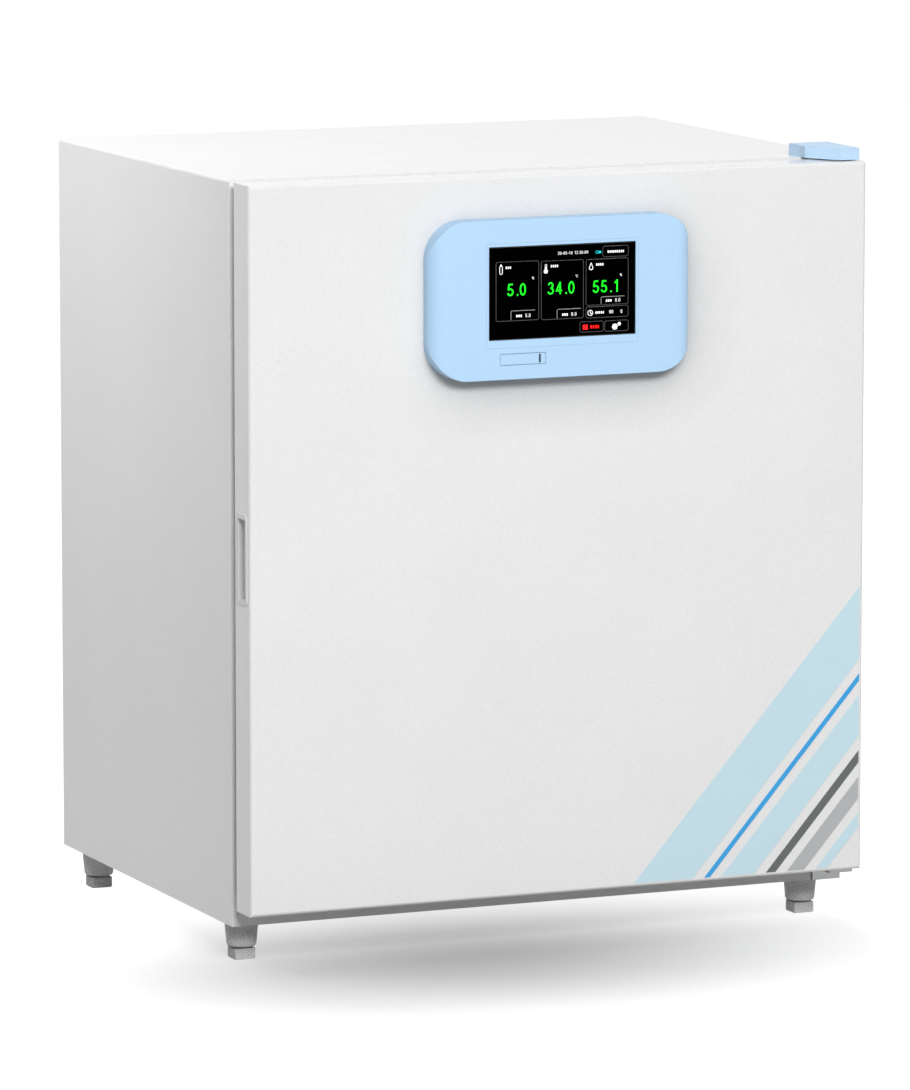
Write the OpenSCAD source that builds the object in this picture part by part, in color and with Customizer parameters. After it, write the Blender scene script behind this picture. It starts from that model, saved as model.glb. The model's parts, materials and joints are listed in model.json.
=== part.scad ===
// Bench-top carbon dioxide incubator with Peltier cooling.
// X runs to the right as the door is faced, Y to the back and Z up.
// The origin is on the floor under the middle of the overall box.

/* [Cabinet] */
// Width of the cabinet and of the outer door
cab_w = 620; // [600:10:700]
// Depth of the cabinet without the door
cab_d = 450; // [450:10:520]
// Height of the cabinet above its feet
cab_h = 690; // [680:10:760]
// Thickness of the painted sheet steel
sheet = 1.5; // [1:0.1:1.8]
// Outer radius of the folded edges
fold_r = 3; // [2.5:0.5:6]

/* [Chamber] */
// Thickness of the insulated side walls, from the cabinet's side to the chamber
side_wall = 75; // [68:1:85]
// Thickness of the insulated floor, from the cabinet's bottom to the chamber
floor_wall = 85; // [75:1:95]
// Thickness of the insulated ceiling, from the chamber to the cabinet's top
ceil_wall = 85; // [75:1:95]
// Depth of the space behind the chamber, with its foam and the cooling units
back_space = 110; // [100:1:125]
// Inner radius of the chamber's long corners
ch_r = 22; // [15:1:24]
// Thickness of the stainless liner
liner_t = 1.2; // [0.8:0.1:1.5]
// Width of the liner's flange round the mouth
flange_w = 15; // [14:0.5:16]
// Thickness of the foam behind the chamber's back wall
back_foam_t = 24; // [18:1:26]

/* [Outer door] */
// Thickness of the outer door
door_t = 36; // [34:1:45]
// Gap between the closed door and the cabinet, which the gasket fills
door_gap = 12; // [11:0.5:14]
// Height of the door's lower edge above the bottom of the cabinet
door_low = 17; // [16:1:22]
// Drop of the door's top edge below the top of the cabinet
door_drop = 1; // [0.8:0.1:2]
// Depth of the recess in the door's inner panel
recess_d = 14; // [13.5:0.5:16]
// Space between the chamber's mouth and the gasket, which takes the glass and its hinges
mouth_room = 45; // [42:1:48]
// Width of the gasket
gasket_w = 12; // [10:0.5:13]
// Length of the finger recess in the door's left edge
grip_l = 84; // [70:1:110]
// Width of the finger recess, across the door's edge
grip_w = 27; // [24:0.5:28]
// How far the finger recess goes into the door
grip_d = 19; // [16:1:22]
// Distance of the finger recess below the door's middle
grip_drop = 7; // [-60:1:90]

/* [Glass door] */
// Thickness of the inner glass door
glass_t = 5; // [4:0.5:5]
// Thickness of the silicone seal behind the glass
seal_t = 4.5; // [4:0.1:4.8]
// Width of the silicone seal
seal_w = 10; // [8:0.5:11]
// Distance from the edge of the glass to the hinge axis
glass_axis = 7; // [6.5:0.5:8]
// Distance from the chamber's floor and ceiling to each glass hinge
glass_hinge_in = 60; // [40:5:100]

/* [Shelves] */
// Distance from the cabinet's front to the shelves
shelf_in = 38; // [30:1:60]
// Height of the lowest shelf above the chamber's floor
shelf_up = 75; // [65:1:85]
// Clear height above the highest shelf
shelf_room = 155; // [135:1:180]
// Thickness of the shelf plate
shelf_t = 1.5; // [1:0.1:2]
// Depth of the folded lip along a shelf's front and back edges
shelf_lip = 10; // [6:1:14]
// Diameter of the shelf's holes
shelf_hole = 12; // [8:1:14]
// Width of the ledge that a shelf rests on
ledge_w = 12; // [10:1:14]
// Distance from the chamber's side walls to the water pan
pan_in = 35; // [30:1:80]
// How far the water pan ends short of the shelves' front edges
pan_short = 12; // [5:1:60]
// Height of the water pan
pan_h = 38; // [30:1:50]

/* [Air circulation] */
// Depth of the air duct along the chamber's back wall
duct_d = 35; // [33:1:38]
// Distance from the chamber's side walls to the air duct
duct_in = 35; // [30:1:50]
// Distance from the chamber's floor to the air duct
duct_low = 22; // [18:1:30]
// Distance from the chamber's ceiling to the air duct, which leaves room for the probes
duct_top = 68; // [60:1:80]
// Outer diameter of the centrifugal fan wheel
wheel_dia = 96; // [90:1:104]
// Number of blades on the fan wheel
wheel_blades = 18; // [12:1:20]
// Gap between the round filter and the shelves above and below it
filter_gap = 18.5; // [15:0.5:24]
// Thickness of the filter
filter_t = 20; // [14:1:24]

/* [Display] */
// Width of the display bezel
bezel_w = 262; // [230:1:290]
// Height of the display bezel
bezel_h = 147; // [142:1:160]
// How far the bezel stands out from the door
bezel_t = 20; // [18:0.5:24]
// Radius of the bezel's corners
bezel_r = 36; // [28:1:40]
// Radius at which the bezel's front rolls back at its two ends
bezel_roll = 16; // [10:0.5:17.5]
// Wall of the bezel moulding
bezel_wall = 2.5; // [2:0.1:3]
// Width of the screen
screen_w = 147; // [120:1:160]
// Width of the housing's border above the screen
screen_above = 24.5; // [20:0.5:28]
// Width of the housing's border below the screen
screen_below = 36.5; // [33:0.5:42]
// Distance from the cabinet's top to the middle of the housing
bezel_drop = 113; // [100:1:140]
// Width of the flap over the USB socket
flap_w = 45; // [36:1:50]
// Height of the flap over the USB socket
flap_h = 10; // [9:0.5:12]

/* [Hinges] */
// Distance from the cabinet's right side to the door's hinge axis
axis_in = 19; // [18:0.5:20]
// Diameter of the door's hinge pins
pin_dia = 8; // [6:0.5:9]
// Length of the pins inside the door
pin_l = 16; // [10:1:17]
// Thickness of the hinge plates
plate_t = 3; // [2.5:0.5:3.5]
// Height of the blue cover over the top hinge
cover_h = 11; // [10.5:0.5:14]
// How far the cover reaches to the left of the hinge axis
cover_l = 26; // [24:1:30]

/* [Feet] */
// Height of a leg's fixed tapered housing
leg_h = 25; // [22:1:35]
// Diameter of the housing at its top
leg_top = 32; // [28:1:36]
// Diameter of the housing at its lower end
leg_low = 28; // [25:1:30]
// Side of the square screw-in pad
pad_w = 20; // [18:0.5:24]
// Height of the pad
pad_h = 10; // [8:0.5:14]
// Gap between the pad and the housing with the foot screwed right in
pad_gap = 2; // [1:0.5:3]
// Distance from the cabinet's side to the middle of a leg
leg_in_x = 23.5; // [20:0.5:30]
// Distance from the cabinet's front to the middle of a front leg
leg_in_front = 36.5; // [30:0.5:60]
// Distance from the cabinet's back to the middle of a back leg
leg_in_back = 34; // [25:0.5:60]

/* [Back] */
// Side of the two square cooling fans
cool_fan = 120; // [110:1:125]
// Thickness of the cooling fans
cool_fan_t = 25; // [20:1:28]
// Distance from the chamber's side walls to the middle of each cooling fan
cool_in = 95; // [80:1:110]
// Number of fins on each heat sink
fins = 15; // [8:1:18]
// Diameter of the access port
port_dia = 25; // [20:1:30]
// Diameter of the gas spigot that the hose pushes onto
spigot_dia = 8; // [6:0.5:10]
// How far the gas spigot stands out from the back, the furthest of all pieces
back_out = 25; // [22:1:40]

/* [Hidden] */
$fn = 48;

// Clearances that are used in more than one place
slip = 0.05;
near = 0.3;
foam_gap = sheet + near;
foam_slack = 1;
frame_fold = 14;
pan_flange = 22;

// Heights above the floor
cab_z = leg_h + pad_gap + pad_h;
top_z = cab_z + cab_h;
floor_z = cab_z + floor_wall;
ceil_z = top_z - ceil_wall;
mid_z = (floor_z + ceil_z) / 2;
door_z0 = cab_z + door_low;
door_z1 = top_z - door_drop;
door_mid_z = (door_z0 + door_z1) / 2;

// Clear size of the chamber
ch_w = cab_w - 2 * side_wall;
ch_h = ceil_z - floor_z;
ch_d = cab_d - back_space;

// Places along Y, counted from the cabinet's front face
face_y = (bezel_t + door_t + door_gap - cab_d - back_out) / 2;
back_y = face_y + cab_d;
door_y1 = face_y - door_gap;
door_y0 = door_y1 - door_t;
recess_y = door_y1 - recess_d;
bezel_y = door_y0 - bezel_t;
liner_y1 = face_y + ch_d;
foam_y1 = liner_y1 + liner_t + back_foam_t;
panel_y = back_y - sheet;

// Chamber, liner and glass
liner_w = ch_w + 2 * liner_t;
liner_h = ch_h + 2 * liner_t;
liner_r = ch_r + liner_t;
flange_t = 1.5;
glass_lap = flange_w;
glass_w = ch_w + 2 * glass_lap;
glass_h = ch_h + 2 * glass_lap;
glass_y1 = face_y - flange_t - seal_t;
glass_y0 = glass_y1 - glass_t;
glass_axis_x = glass_w / 2 + glass_axis;
glass_axis_y = (glass_y0 + glass_y1) / 2 - 1.5;
glass_r = 10;
glass_pin_r = 2;
knuckle_r = 4.5;
knuckle_h = 18;
leaf_h = 12;
leaf_l = 24;
leaf_pad_h = 24;
plate_leaf = 2;
glass_plate_l = 13;
pull_clear = 2.5;
pull_out = door_gap + recess_d - flange_t - seal_t - glass_t - plate_leaf - pull_clear;
pull_x = -glass_w / 2 + 28;
pull_bolt_r = 3;
strip_out = 12;
glass_hinge_z = [floor_z + glass_hinge_in, ceil_z - glass_hinge_in];

// Outer door
skin_w = cab_w;
skin_h = door_z1 - door_z0;
gasket_in = side_wall - mouth_room - gasket_w;
recess_w = skin_w - 2 * (gasket_in + gasket_w + 6);
recess_h = skin_h - 2 * (gasket_in + gasket_w + 6);
recess_r = 20;
axis_x = cab_w / 2 - axis_in;
axis_y = (door_y0 + door_y1) / 2;
bush_r = pin_dia / 2 + 3;
bush_l = pin_l + 2;
grip_z = door_mid_z - grip_drop;
grip_y = axis_y + 1;
grip_rim = 3;
grip_wall = 1.6;
grip_r = 2.5;
grip_proud = 0.8;
door_liner_t = 2;
gasket_foot = 3;
gasket_head = 4.5;
hinge_gap = 1;
washer_t = hinge_gap - 2 * slip;
plate_w = 18;
plate_back = 22;
low_plate_l = 10;
low_plate_in = 4;
low_plate_r = 2;
cover_wall = 1.5;
cover_x0 = axis_x - cover_l;
cover_x1 = axis_x + plate_w / 2 + cover_wall + 3.5;
cover_y0 = axis_y - 13;
cover_y1 = face_y + plate_back + 4;
cover_cut_x = cover_l - 6;
cover_cut_y = 34;
cover_turn_x = atan2(cover_cut_y, cover_cut_x);
cover_turn_y = 90 - cover_turn_x;

// Display, measured from the door's middle and the bezel's own middle
bezel_x = -7.5;
bezel_z = top_z - bezel_drop;
screen_h = bezel_h - screen_above - screen_below;
screen_x = bezel_x - 1;
screen_z = bezel_z + bezel_h / 2 - screen_above - screen_h / 2;
flap_x = bezel_x - 40.5;
flap_z = bezel_z - bezel_h / 2 + screen_below / 2 + 0.25;
screen_drop = 0.8;
screen_t = 6;
board_y = bezel_y + 13;
board_t = 1.6;
board_lap = 8;
flap_t = 1.6;
flap_pin_r = 0.8;
flap_pin_l = 2;
flap_barrel_r = 1.3;
flap_axis_x = flap_x - flap_w / 2 + flap_barrel_r;
flap_axis_y = bezel_y + flap_barrel_r;
flap_slit_w = 1.8;
flap_slit_x = flap_x + flap_w / 2 - 6.5;
usb_w = 13.2;
usb_h = 5.8;

// Shelves and rails
rail_t = 1.5;
upright_t = 2;
upright_w = 18;
rail_x = ch_w / 2 - upright_t;
ledge_x = rail_x - rail_t;
shelf_w = 2 * (ledge_x - 1.5);
shelf_y1 = liner_y1 - duct_d - 5;
shelf_y0 = face_y + shelf_in;
shelf_d = shelf_y1 - shelf_y0;
shelf_step = (ch_h - shelf_up - shelf_room) / 2;
ledge_z = [for (i = [0:2]) floor_z + shelf_up + i * shelf_step];
ledge_h = 16;
shelf_stop_h = 8;
hole_pitch = 22;
hole_edge = 22;
upright_in = 33;
upright_y = [shelf_y0 + upright_in, shelf_y1 - upright_in];
upright_pitch = shelf_step / 6;
slot_end = 18;
slot_y = 4;
slot_h = 10;
pan_rim = 6;
pan_w = ch_w - 2 * pan_in;
pan_d = shelf_d - pan_short;

// Air circulation
duct_y = liner_y1 - duct_d;
duct_t = 1.2;
duct_w = ch_w - 2 * duct_in;
duct_z = floor_z + duct_low;
duct_h = ch_h - duct_low - duct_top;
fan_z = ledge_z[1] + shelf_step / 2;
wheel_y0 = duct_y + 5;
wheel_y1 = liner_y1 - 10;
wheel_t = 1.5;
blade_w = 15;
blade_r = 11;
blade_lead = 12;
filter_dia = shelf_step - 2 * filter_gap;
inlet_r = filter_dia / 2 - 22;
duct_r = 14;
duct_slots = 4;
duct_slot_pitch = (duct_w - 58) / (2 * duct_slots + 1);
pleat_n = 36;
shaft_r = 3;
shaft_l = 20;
motor_r = 28;
motor_l = 40;

// Probes above the duct
probe_x = [-70, -20, 40];
probe_z = ceil_z - 34;
probe_body_r = 4;
probe_l = 62;
co2_head_l = 40;

// Cooling units on the back
cool_x = ch_w / 2 - cool_in;
cool_up = 88;
cool_z = fan_z + cool_up;
peltier_t = 4;
cold_t = back_foam_t - peltier_t;
sink_base = 6;
sink_y1 = panel_y - cool_fan_t - 6;
sink_w = cool_fan - 8;
cold_w = 80;
peltier_w = 40;
fin_t = 1.5;
rotor_gap = 1.5;
fan_bore = cool_fan / 2 - 3;
hub_r = 20;
strut_t = 3;
rotor_shaft_r = 2.5;
guard_wire = 2.2;
guard_pitch = 8;
slot_rows = 8;
slot_pitch = 11;
slot_l = 110;
slot_w = 4;

// Services on the back
port_in = 85;
port_down = 30;
port_x = -ch_w / 2 + port_in;
port_z = ceil_z - port_down;
port_wall = 1.5;
gas_in = 35;
gas_down = 32;
gas_x = ch_w / 2 - gas_in;
gas_z = ceil_z - gas_down;
gas_thread_r = 6;
gas_thread_l = 12;
gas_pipe_r = 3;
valve_w = 28;
valve_d = 24;
valve_h = 24;
coil_r = 11;
coil_h = 34;
inlet_in = 90;
inlet_up = 70;
inlet_x = -cab_w / 2 + inlet_in;
inlet_z = cab_z + inlet_up;
inlet_w = 27;
inlet_h = 20;
inlet_l = 24;
switch_step = 55;
switch_x = inlet_x + switch_step;
switch_w = 22;
switch_h = 30;
switch_tilt = 10;
rocker_w = 17;
rocker_h = 23;
rocker_y = back_y - 2;
rocker_pin_r = 1.5;
psu_w = 180;
psu_d = 55;
psu_h = 100;
psu_in = 160;
psu_x = cab_w / 2 - psu_in;
board_x = -80;
board_z = ceil_z - 45;
board_w = 150;
board_h = 100;
board_post = 20;
post_in = 6;
post_r = 3;
chip_w = 20;
chip_h = 25;
chip_out = 18;
can_r = 7;
can_out = 26;

leg_x = cab_w / 2 - leg_in_x;
leg_y0 = face_y + leg_in_front;
leg_y1 = back_y - leg_in_back;
leg_bevel = 2;
leg_band = 2;
pad_r = pad_w * 0.685;
stud_r = 5;
stud_l = leg_h - 3;

white = [0.93, 0.93, 0.93];
steel = [0.78, 0.79, 0.80];
pale_blue = [0.72, 0.86, 0.98];
grey = [0.55, 0.55, 0.56];
black = [0.08, 0.08, 0.09];

// Box between two corners
module box(low, high) {
    translate(low) cube(high - low);
}

// Rectangle with round corners, about the origin
module rounded(w, h, r) {
    square([w - 2 * r, h], center = true);
    square([w, h - 2 * r], center = true);
    for (x = [-1, 1], z = [-1, 1])
        translate([x * (w / 2 - r), z * (h / 2 - r)]) circle(r);
}

// Frame between two rounded rectangles that share a middle
module rounded_ring(w, h, r, rim) {
    difference() {
        rounded(w, h, r);
        rounded(w - 2 * rim, h - 2 * rim, max(r - rim, 1));
    }
}

// Carries an outline drawn in X and Z from y0 to y1
module along_y(y0, y1) {
    translate([0, y1, 0]) rotate([90, 0, 0]) linear_extrude(y1 - y0) children();
}

// Round bar along Y
module bar_y(x, z, y0, y1, r) {
    along_y(y0, y1) translate([x, z]) circle(r);
}

// Carries an outline drawn in Y and Z from x0 to x1
module along_x(x0, x1) {
    translate([x0, 0, 0]) rotate([90, 0, 90]) linear_extrude(x1 - x0) children();
}

// Outline in X and Z with a flat bottom and round top corners
module arch(w, z0, z1, r) {
    translate([-w / 2, z0]) square([w, z1 - r - z0]);
    translate([-w / 2 + r, z0]) square([w - 2 * r, z1 - z0]);
    for (x = [-1, 1]) translate([x * (w / 2 - r), z1 - r]) circle(r);
}

// Block whose front face, at y0, has round edges all round
module pan(w, z0, z1, y0, y1, r) {
    intersection() {
        translate([0, 0, z0]) linear_extrude(z1 - z0) {
            translate([-w / 2, y0 + r]) square([w, y1 - y0 - r]);
            translate([-w / 2 + r, y0]) square([w - 2 * r, y1 - y0]);
            for (x = [-1, 1]) translate([x * (w / 2 - r), y0 + r]) circle(r);
        }
        along_x(-w / 2, w / 2) {
            translate([y0 + r, z0]) square([y1 - y0 - r, z1 - z0]);
            translate([y0, z0 + r]) square([y1 - y0, z1 - z0 - 2 * r]);
            for (z = [z0 + r, z1 - r]) translate([y0 + r, z]) circle(r);
        }
    }
}

// Sets its children out at both cooling units
module both_coolers() {
    for (x = [-cool_x, cool_x]) translate([x, 0, cool_z]) children();
}

// Cabinet

// Folded wrap that makes the two sides and the top
module outer_shell() {
    color(white) along_y(face_y, back_y) difference() {
        arch(cab_w, cab_z, top_z, fold_r);
        arch(cab_w - 2 * sheet, cab_z - 1, top_z - sheet, fold_r - sheet);
    }
}

// Floor of the cabinet, with a flange turned up along each side
module base_pan() {
    x1 = cab_w / 2 - sheet;
    color(white) {
        box([-x1, face_y + sheet, cab_z], [x1, panel_y, cab_z + sheet]);
        for (x = [-x1, x1 - sheet])
            box([x, face_y + frame_fold, cab_z], [x + sheet, panel_y, cab_z + pan_flange]);
    }
}

// Painted front of the cabinet round the chamber's mouth, folded back at its edges
module front_frame() {
    w = cab_w - 2 * sheet;
    z1 = top_z - sheet;
    color(white) {
        along_y(face_y, face_y + sheet) difference() {
            arch(w, cab_z, z1, fold_r - sheet);
            translate([0, mid_z]) rounded(liner_w + 2 * slip, liner_h + 2 * slip, liner_r);
        }
        along_y(face_y, face_y + frame_fold) difference() {
            arch(w, cab_z + sheet, z1, fold_r - sheet);
            translate([-w / 2 + sheet, cab_z]) square([w - 2 * sheet, z1 - sheet - cab_z]);
        }
    }
}

// Rear panel with its openings and two fields of cooling slots
module back_panel() {
    color(white) along_y(panel_y, back_y) difference() {
        arch(cab_w - 2 * sheet, cab_z, top_z - sheet, fold_r - sheet);
        for (x = [-cool_x, cool_x]) translate([x, cool_z]) circle(fan_bore);
        translate([port_x, port_z]) circle(port_dia / 2 + port_wall + slip);
        translate([gas_x, gas_z]) circle(gas_thread_r + slip);
        translate([inlet_x, inlet_z])
            square([inlet_w + 2 * slip, inlet_h + 2 * slip], center = true);
        translate([switch_x, inlet_z])
            square([switch_w + 2 * slip, switch_h + 2 * slip], center = true);
        for (x = [-cool_x, cool_x], i = [0:slot_rows - 1])
            translate([x, cool_z - cool_fan / 2 - 40 - i * slot_pitch])
                rounded(slot_l, slot_w, slot_w / 2 - 0.01);
    }
}

// Foam between the liner and the outer sheets
module insulation() {
    w = cab_w - 2 * sheet - 2 * foam_gap;
    color([0.93, 0.88, 0.72]) difference() {
        along_y(face_y + sheet, foam_y1) translate([-w / 2, cab_z + sheet])
            square([w, cab_h - 2 * sheet - foam_gap]);
        along_y(face_y, liner_y1 + liner_t) translate([0, mid_z])
            rounded(liner_w + 2 * slip, liner_h + 2 * slip, liner_r + slip);
        both_coolers() along_y(liner_y1, foam_y1 + 1) square(cold_w + 2, center = true);
        bar_y(0, fan_z, liner_y1, foam_y1 + 1, motor_r + 7);
        bar_y(port_x, port_z, liner_y1, foam_y1 + 1, port_dia / 2 + port_wall + slip);
        bar_y(gas_x, gas_z, liner_y1, foam_y1 + 1, gas_pipe_r + slip);
        for (x = probe_x) bar_y(x, probe_z, liner_y1, foam_y1 + 1, probe_body_r + slip);
    }
}

// Four tapered housings that carry the screw feet
module leg_housings() {
    color(grey) for (x = [-leg_x, leg_x], y = [leg_y0, leg_y1]) translate([x, y, 0])
        difference() {
            union() {
                translate([0, 0, cab_z - leg_h])
                    cylinder(r1 = leg_low / 2 - leg_bevel / 2, r2 = leg_low / 2, h = leg_bevel);
                translate([0, 0, cab_z - leg_h + leg_bevel])
                    cylinder(r1 = leg_low / 2, r2 = leg_top / 2, h = leg_h - leg_bevel - leg_band);
                translate([0, 0, cab_z - leg_band]) cylinder(d = leg_top, h = leg_band);
            }
            translate([0, 0, cab_z - leg_h - 1]) cylinder(r = stud_r + slip, h = stud_l + 1);
        }
}

// Square foot on a threaded stud that runs in its leg
module foot(x, y) {
    color(grey) translate([x, y, 0]) {
        intersection() {
            translate([-pad_w / 2, -pad_w / 2, 0]) cube([pad_w, pad_w, pad_h]);
            cylinder(r1 = pad_r - 1, r2 = pad_r - 1 + 2 * pad_h, h = 2 * pad_h);
            translate([0, 0, -pad_h]) cylinder(r = pad_r, h = 3 * pad_h);
        }
        cylinder(r = stud_r, h = pad_h + pad_gap + stud_l - 2);
    }
}

module foot_front_left() { foot(-leg_x, leg_y0); }
module foot_front_right() { foot(leg_x, leg_y0); }
module foot_back_left() { foot(-leg_x, leg_y1); }
module foot_back_right() { foot(leg_x, leg_y1); }

// Chamber

// Stainless box with round long corners and a flange round its mouth
module chamber_liner() {
    color(steel) {
        along_y(face_y - flange_t, liner_y1 + liner_t) translate([0, mid_z]) difference() {
            rounded(liner_w, liner_h, liner_r);
            rounded(ch_w, ch_h, ch_r);
        }
        along_y(liner_y1, liner_y1 + liner_t) difference() {
            translate([0, mid_z]) rounded(liner_w, liner_h, liner_r);
            translate([0, fan_z]) circle(shaft_r + 2);
            translate([port_x, port_z]) circle(port_dia / 2 + port_wall + slip);
            translate([gas_x, gas_z]) circle(gas_pipe_r + slip);
            for (x = probe_x) translate([x, probe_z]) circle(probe_body_r + slip);
        }
        along_y(face_y - flange_t, face_y) translate([0, mid_z])
            rounded_ring(ch_w + 2 * flange_w, ch_h + 2 * flange_w, ch_r + flange_w, flange_w);
    }
}

// Two slotted uprights on one side wall
module uprights(side) {
    x1 = ch_w / 2;
    z0 = floor_z + ch_r;
    z1 = ceil_z - ch_r;
    color(steel) mirror([side < 0 ? 1 : 0, 0, 0]) for (y = upright_y) difference() {
        box([rail_x, y - upright_w / 2, z0], [x1, y + upright_w / 2, z1]);
        for (z = [z0 + slot_end : upright_pitch : z1 - slot_end])
            box([rail_x - 1, y - slot_y / 2, hook_z(z) - slot_h / 2],
                [x1 + 1, y + slot_y / 2, hook_z(z) + slot_h / 2]);
    }
}

// Height of the slot nearest to z, in step with the ledges' hooks
function hook_z(z) =
    ledge_z[0] - ledge_h / 2 + upright_pitch * round((z - ledge_z[0] + ledge_h / 2) / upright_pitch);

// Three ledges that hook into the uprights, each with a stop behind its shelf
module ledges(side) {
    color(steel) mirror([side < 0 ? 1 : 0, 0, 0]) for (z = ledge_z) {
        along_y(shelf_y0, shelf_y1) {
            translate([ledge_x, z - ledge_h]) square([rail_t, ledge_h]);
            translate([ledge_x - ledge_w, z - rail_t]) square([ledge_w + rail_t, rail_t]);
        }
        box([ledge_x - ledge_w / 2, shelf_y1 + slip, z - rail_t],
            [ledge_x + rail_t, shelf_y1 + rail_t, z + shelf_stop_h]);
        for (y = upright_y)
            box([ledge_x + rail_t / 2, y - slot_y / 2 + near, z - ledge_h / 2 - slot_h / 2 + 1],
                [rail_x + rail_t, y + slot_y / 2 - near, z - ledge_h / 2 + slot_h / 2 - 1]);
    }
}

module upright_left() { uprights(-1); }
module upright_right() { uprights(1); }
module ledges_left() { ledges(-1); }
module ledges_right() { ledges(1); }

// Perforated shelf with its front lip turned down and its back lip turned up
module shelf(i) {
    z = ledge_z[i] + slip;
    lip_x = ledge_x - ledge_w - 2;
    nx = floor((shelf_w - 2 * hole_edge) / hole_pitch / 2);
    ny = floor((shelf_d - 2 * hole_edge) / hole_pitch / 2);
    color(steel) {
        translate([0, (shelf_y0 + shelf_y1) / 2, z]) linear_extrude(shelf_t) difference() {
            rounded(shelf_w, shelf_d, 4);
            for (x = [-nx:nx], y = [-ny:ny])
                translate([x * hole_pitch, y * hole_pitch]) circle(d = shelf_hole, $fn = 24);
        }
        box([-lip_x, shelf_y0, z - shelf_lip], [lip_x, shelf_y0 + shelf_t, z + shelf_t]);
        box([-lip_x, shelf_y1 - shelf_t, z], [lip_x, shelf_y1, z + shelf_lip]);
    }
}

module shelf_lower() { shelf(0); }
module shelf_middle() { shelf(1); }
module shelf_upper() { shelf(2); }

// Open pan for water on the chamber's floor, with a flat rim
module water_pan() {
    r = 14;
    wall = 1;
    color(steel) translate([0, shelf_y1 - pan_d / 2, floor_z + slip]) {
        difference() {
            linear_extrude(pan_h) rounded(pan_w, pan_d, r);
            translate([0, 0, wall]) linear_extrude(pan_h)
                rounded(pan_w - 2 * wall, pan_d - 2 * wall, r - wall);
        }
        translate([0, 0, pan_h - wall]) linear_extrude(wall) difference() {
            rounded(pan_w + 2 * pan_rim, pan_d, r);
            rounded(pan_w - wall, pan_d - wall, r - wall);
        }
    }
}

// Cover that makes an air duct with the back wall, with slots at its top and bottom
module duct_cover() {
    mid = duct_z + duct_h / 2;
    color(steel) difference() {
        union() {
            along_y(duct_y, liner_y1) translate([0, mid])
                rounded_ring(duct_w, duct_h, duct_r, duct_t);
            along_y(duct_y, duct_y + duct_t) difference() {
                translate([0, mid]) rounded(duct_w, duct_h, duct_r);
                translate([0, fan_z]) circle(inlet_r);
            }
        }
        for (z = [duct_z + 28, duct_z + duct_h - 28], i = [-duct_slots:duct_slots])
            along_y(duct_y - 1, duct_y + 2 * duct_t) translate([i * duct_slot_pitch, z])
                rounded(duct_slot_pitch - 9, 8, 3.99);
        for (i = [-duct_slots:duct_slots])
            translate([i * duct_slot_pitch, duct_y + duct_d / 2, mid])
                cube([duct_slot_pitch - 9, duct_d / 2, duct_h + 2], center = true);
    }
}

// Round filter: pleats between a back ring and a closed front cap
module hepa_filter() {
    y0 = duct_y - filter_t;
    r1 = filter_dia / 2;
    color([0.95, 0.95, 0.93]) {
        along_y(duct_y - 3, duct_y) translate([0, fan_z]) difference() {
            circle(r1);
            circle(inlet_r);
        }
        bar_y(0, fan_z, y0, y0 + 3, r1);
        bar_y(0, fan_z, y0 - 1, y0, r1 - 10);
        along_y(y0 + 3, duct_y - 3) translate([0, fan_z]) difference() {
            polygon(pleats(r1 - 2, r1 - 11));
            polygon(pleats(r1 - 4, r1 - 13));
        }
    }
}

// Corners of a star with one point for each pleat
function pleats(r1, r0) = [
    for (i = [0:2 * pleat_n - 1])
        (i % 2 == 0 ? r1 : r0) * [cos(i * 180 / pleat_n), sin(i * 180 / pleat_n)]
];

// Motor behind the chamber, with a flange against the liner
module fan_motor() {
    y0 = liner_y1 + liner_t;
    color(grey) difference() {
        union() {
            bar_y(0, fan_z, y0, y0 + 3, motor_r + 6);
            bar_y(0, fan_z, y0, y0 + motor_l, motor_r);
            bar_y(0, fan_z, y0 + motor_l, y0 + motor_l + 6, motor_r - 10);
        }
        bar_y(0, fan_z, y0 - 1, y0 + shaft_l + 1, shaft_r + slip);
    }
}

// Centrifugal wheel with curved blades, on the motor's shaft
module fan_wheel() {
    r = wheel_dia / 2;
    hub_y = wheel_y0 + 4;
    color([0.2, 0.2, 0.22]) {
        along_y(wheel_y0, wheel_y0 + wheel_t) translate([0, fan_z]) difference() {
            circle(r);
            circle(r - blade_w);
        }
        bar_y(0, fan_z, wheel_y1 - wheel_t, wheel_y1, r);
        bar_y(0, fan_z, hub_y, wheel_y1, shaft_r + 6);
        along_y(wheel_y0 + wheel_t / 2, wheel_y1 - wheel_t / 2) translate([0, fan_z])
            for (i = [0:wheel_blades - 1]) rotate(i * 360 / wheel_blades) blade(r - near);
    }
    color(steel) bar_y(0, fan_z, hub_y - 2, liner_y1 + liner_t + shaft_l, shaft_r);
}

// One curved blade of the wheel, as an outline
module blade(r) {
    mid = r - blade_w / 2;
    intersection() {
        difference() {
            circle(r);
            circle(r - blade_w + 2 * near);
        }
        rotate(blade_lead) translate([mid, -blade_r]) difference() {
            circle(blade_r);
            circle(blade_r - wheel_t);
        }
        rotate(blade_lead) translate([mid - blade_w, -blade_r / 2]) square([2 * blade_w, blade_r]);
    }
}

// Probe through the back wall: a stem, a collar and a threaded body
module probe(x, tip_l, tip_r) {
    bar_y(x, probe_z, liner_y1 - tip_l, liner_y1, tip_r);
    bar_y(x, probe_z, liner_y1 - 4, liner_y1, probe_body_r + 3);
    bar_y(x, probe_z, liner_y1, foam_y1 + 12, probe_body_r);
}

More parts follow.
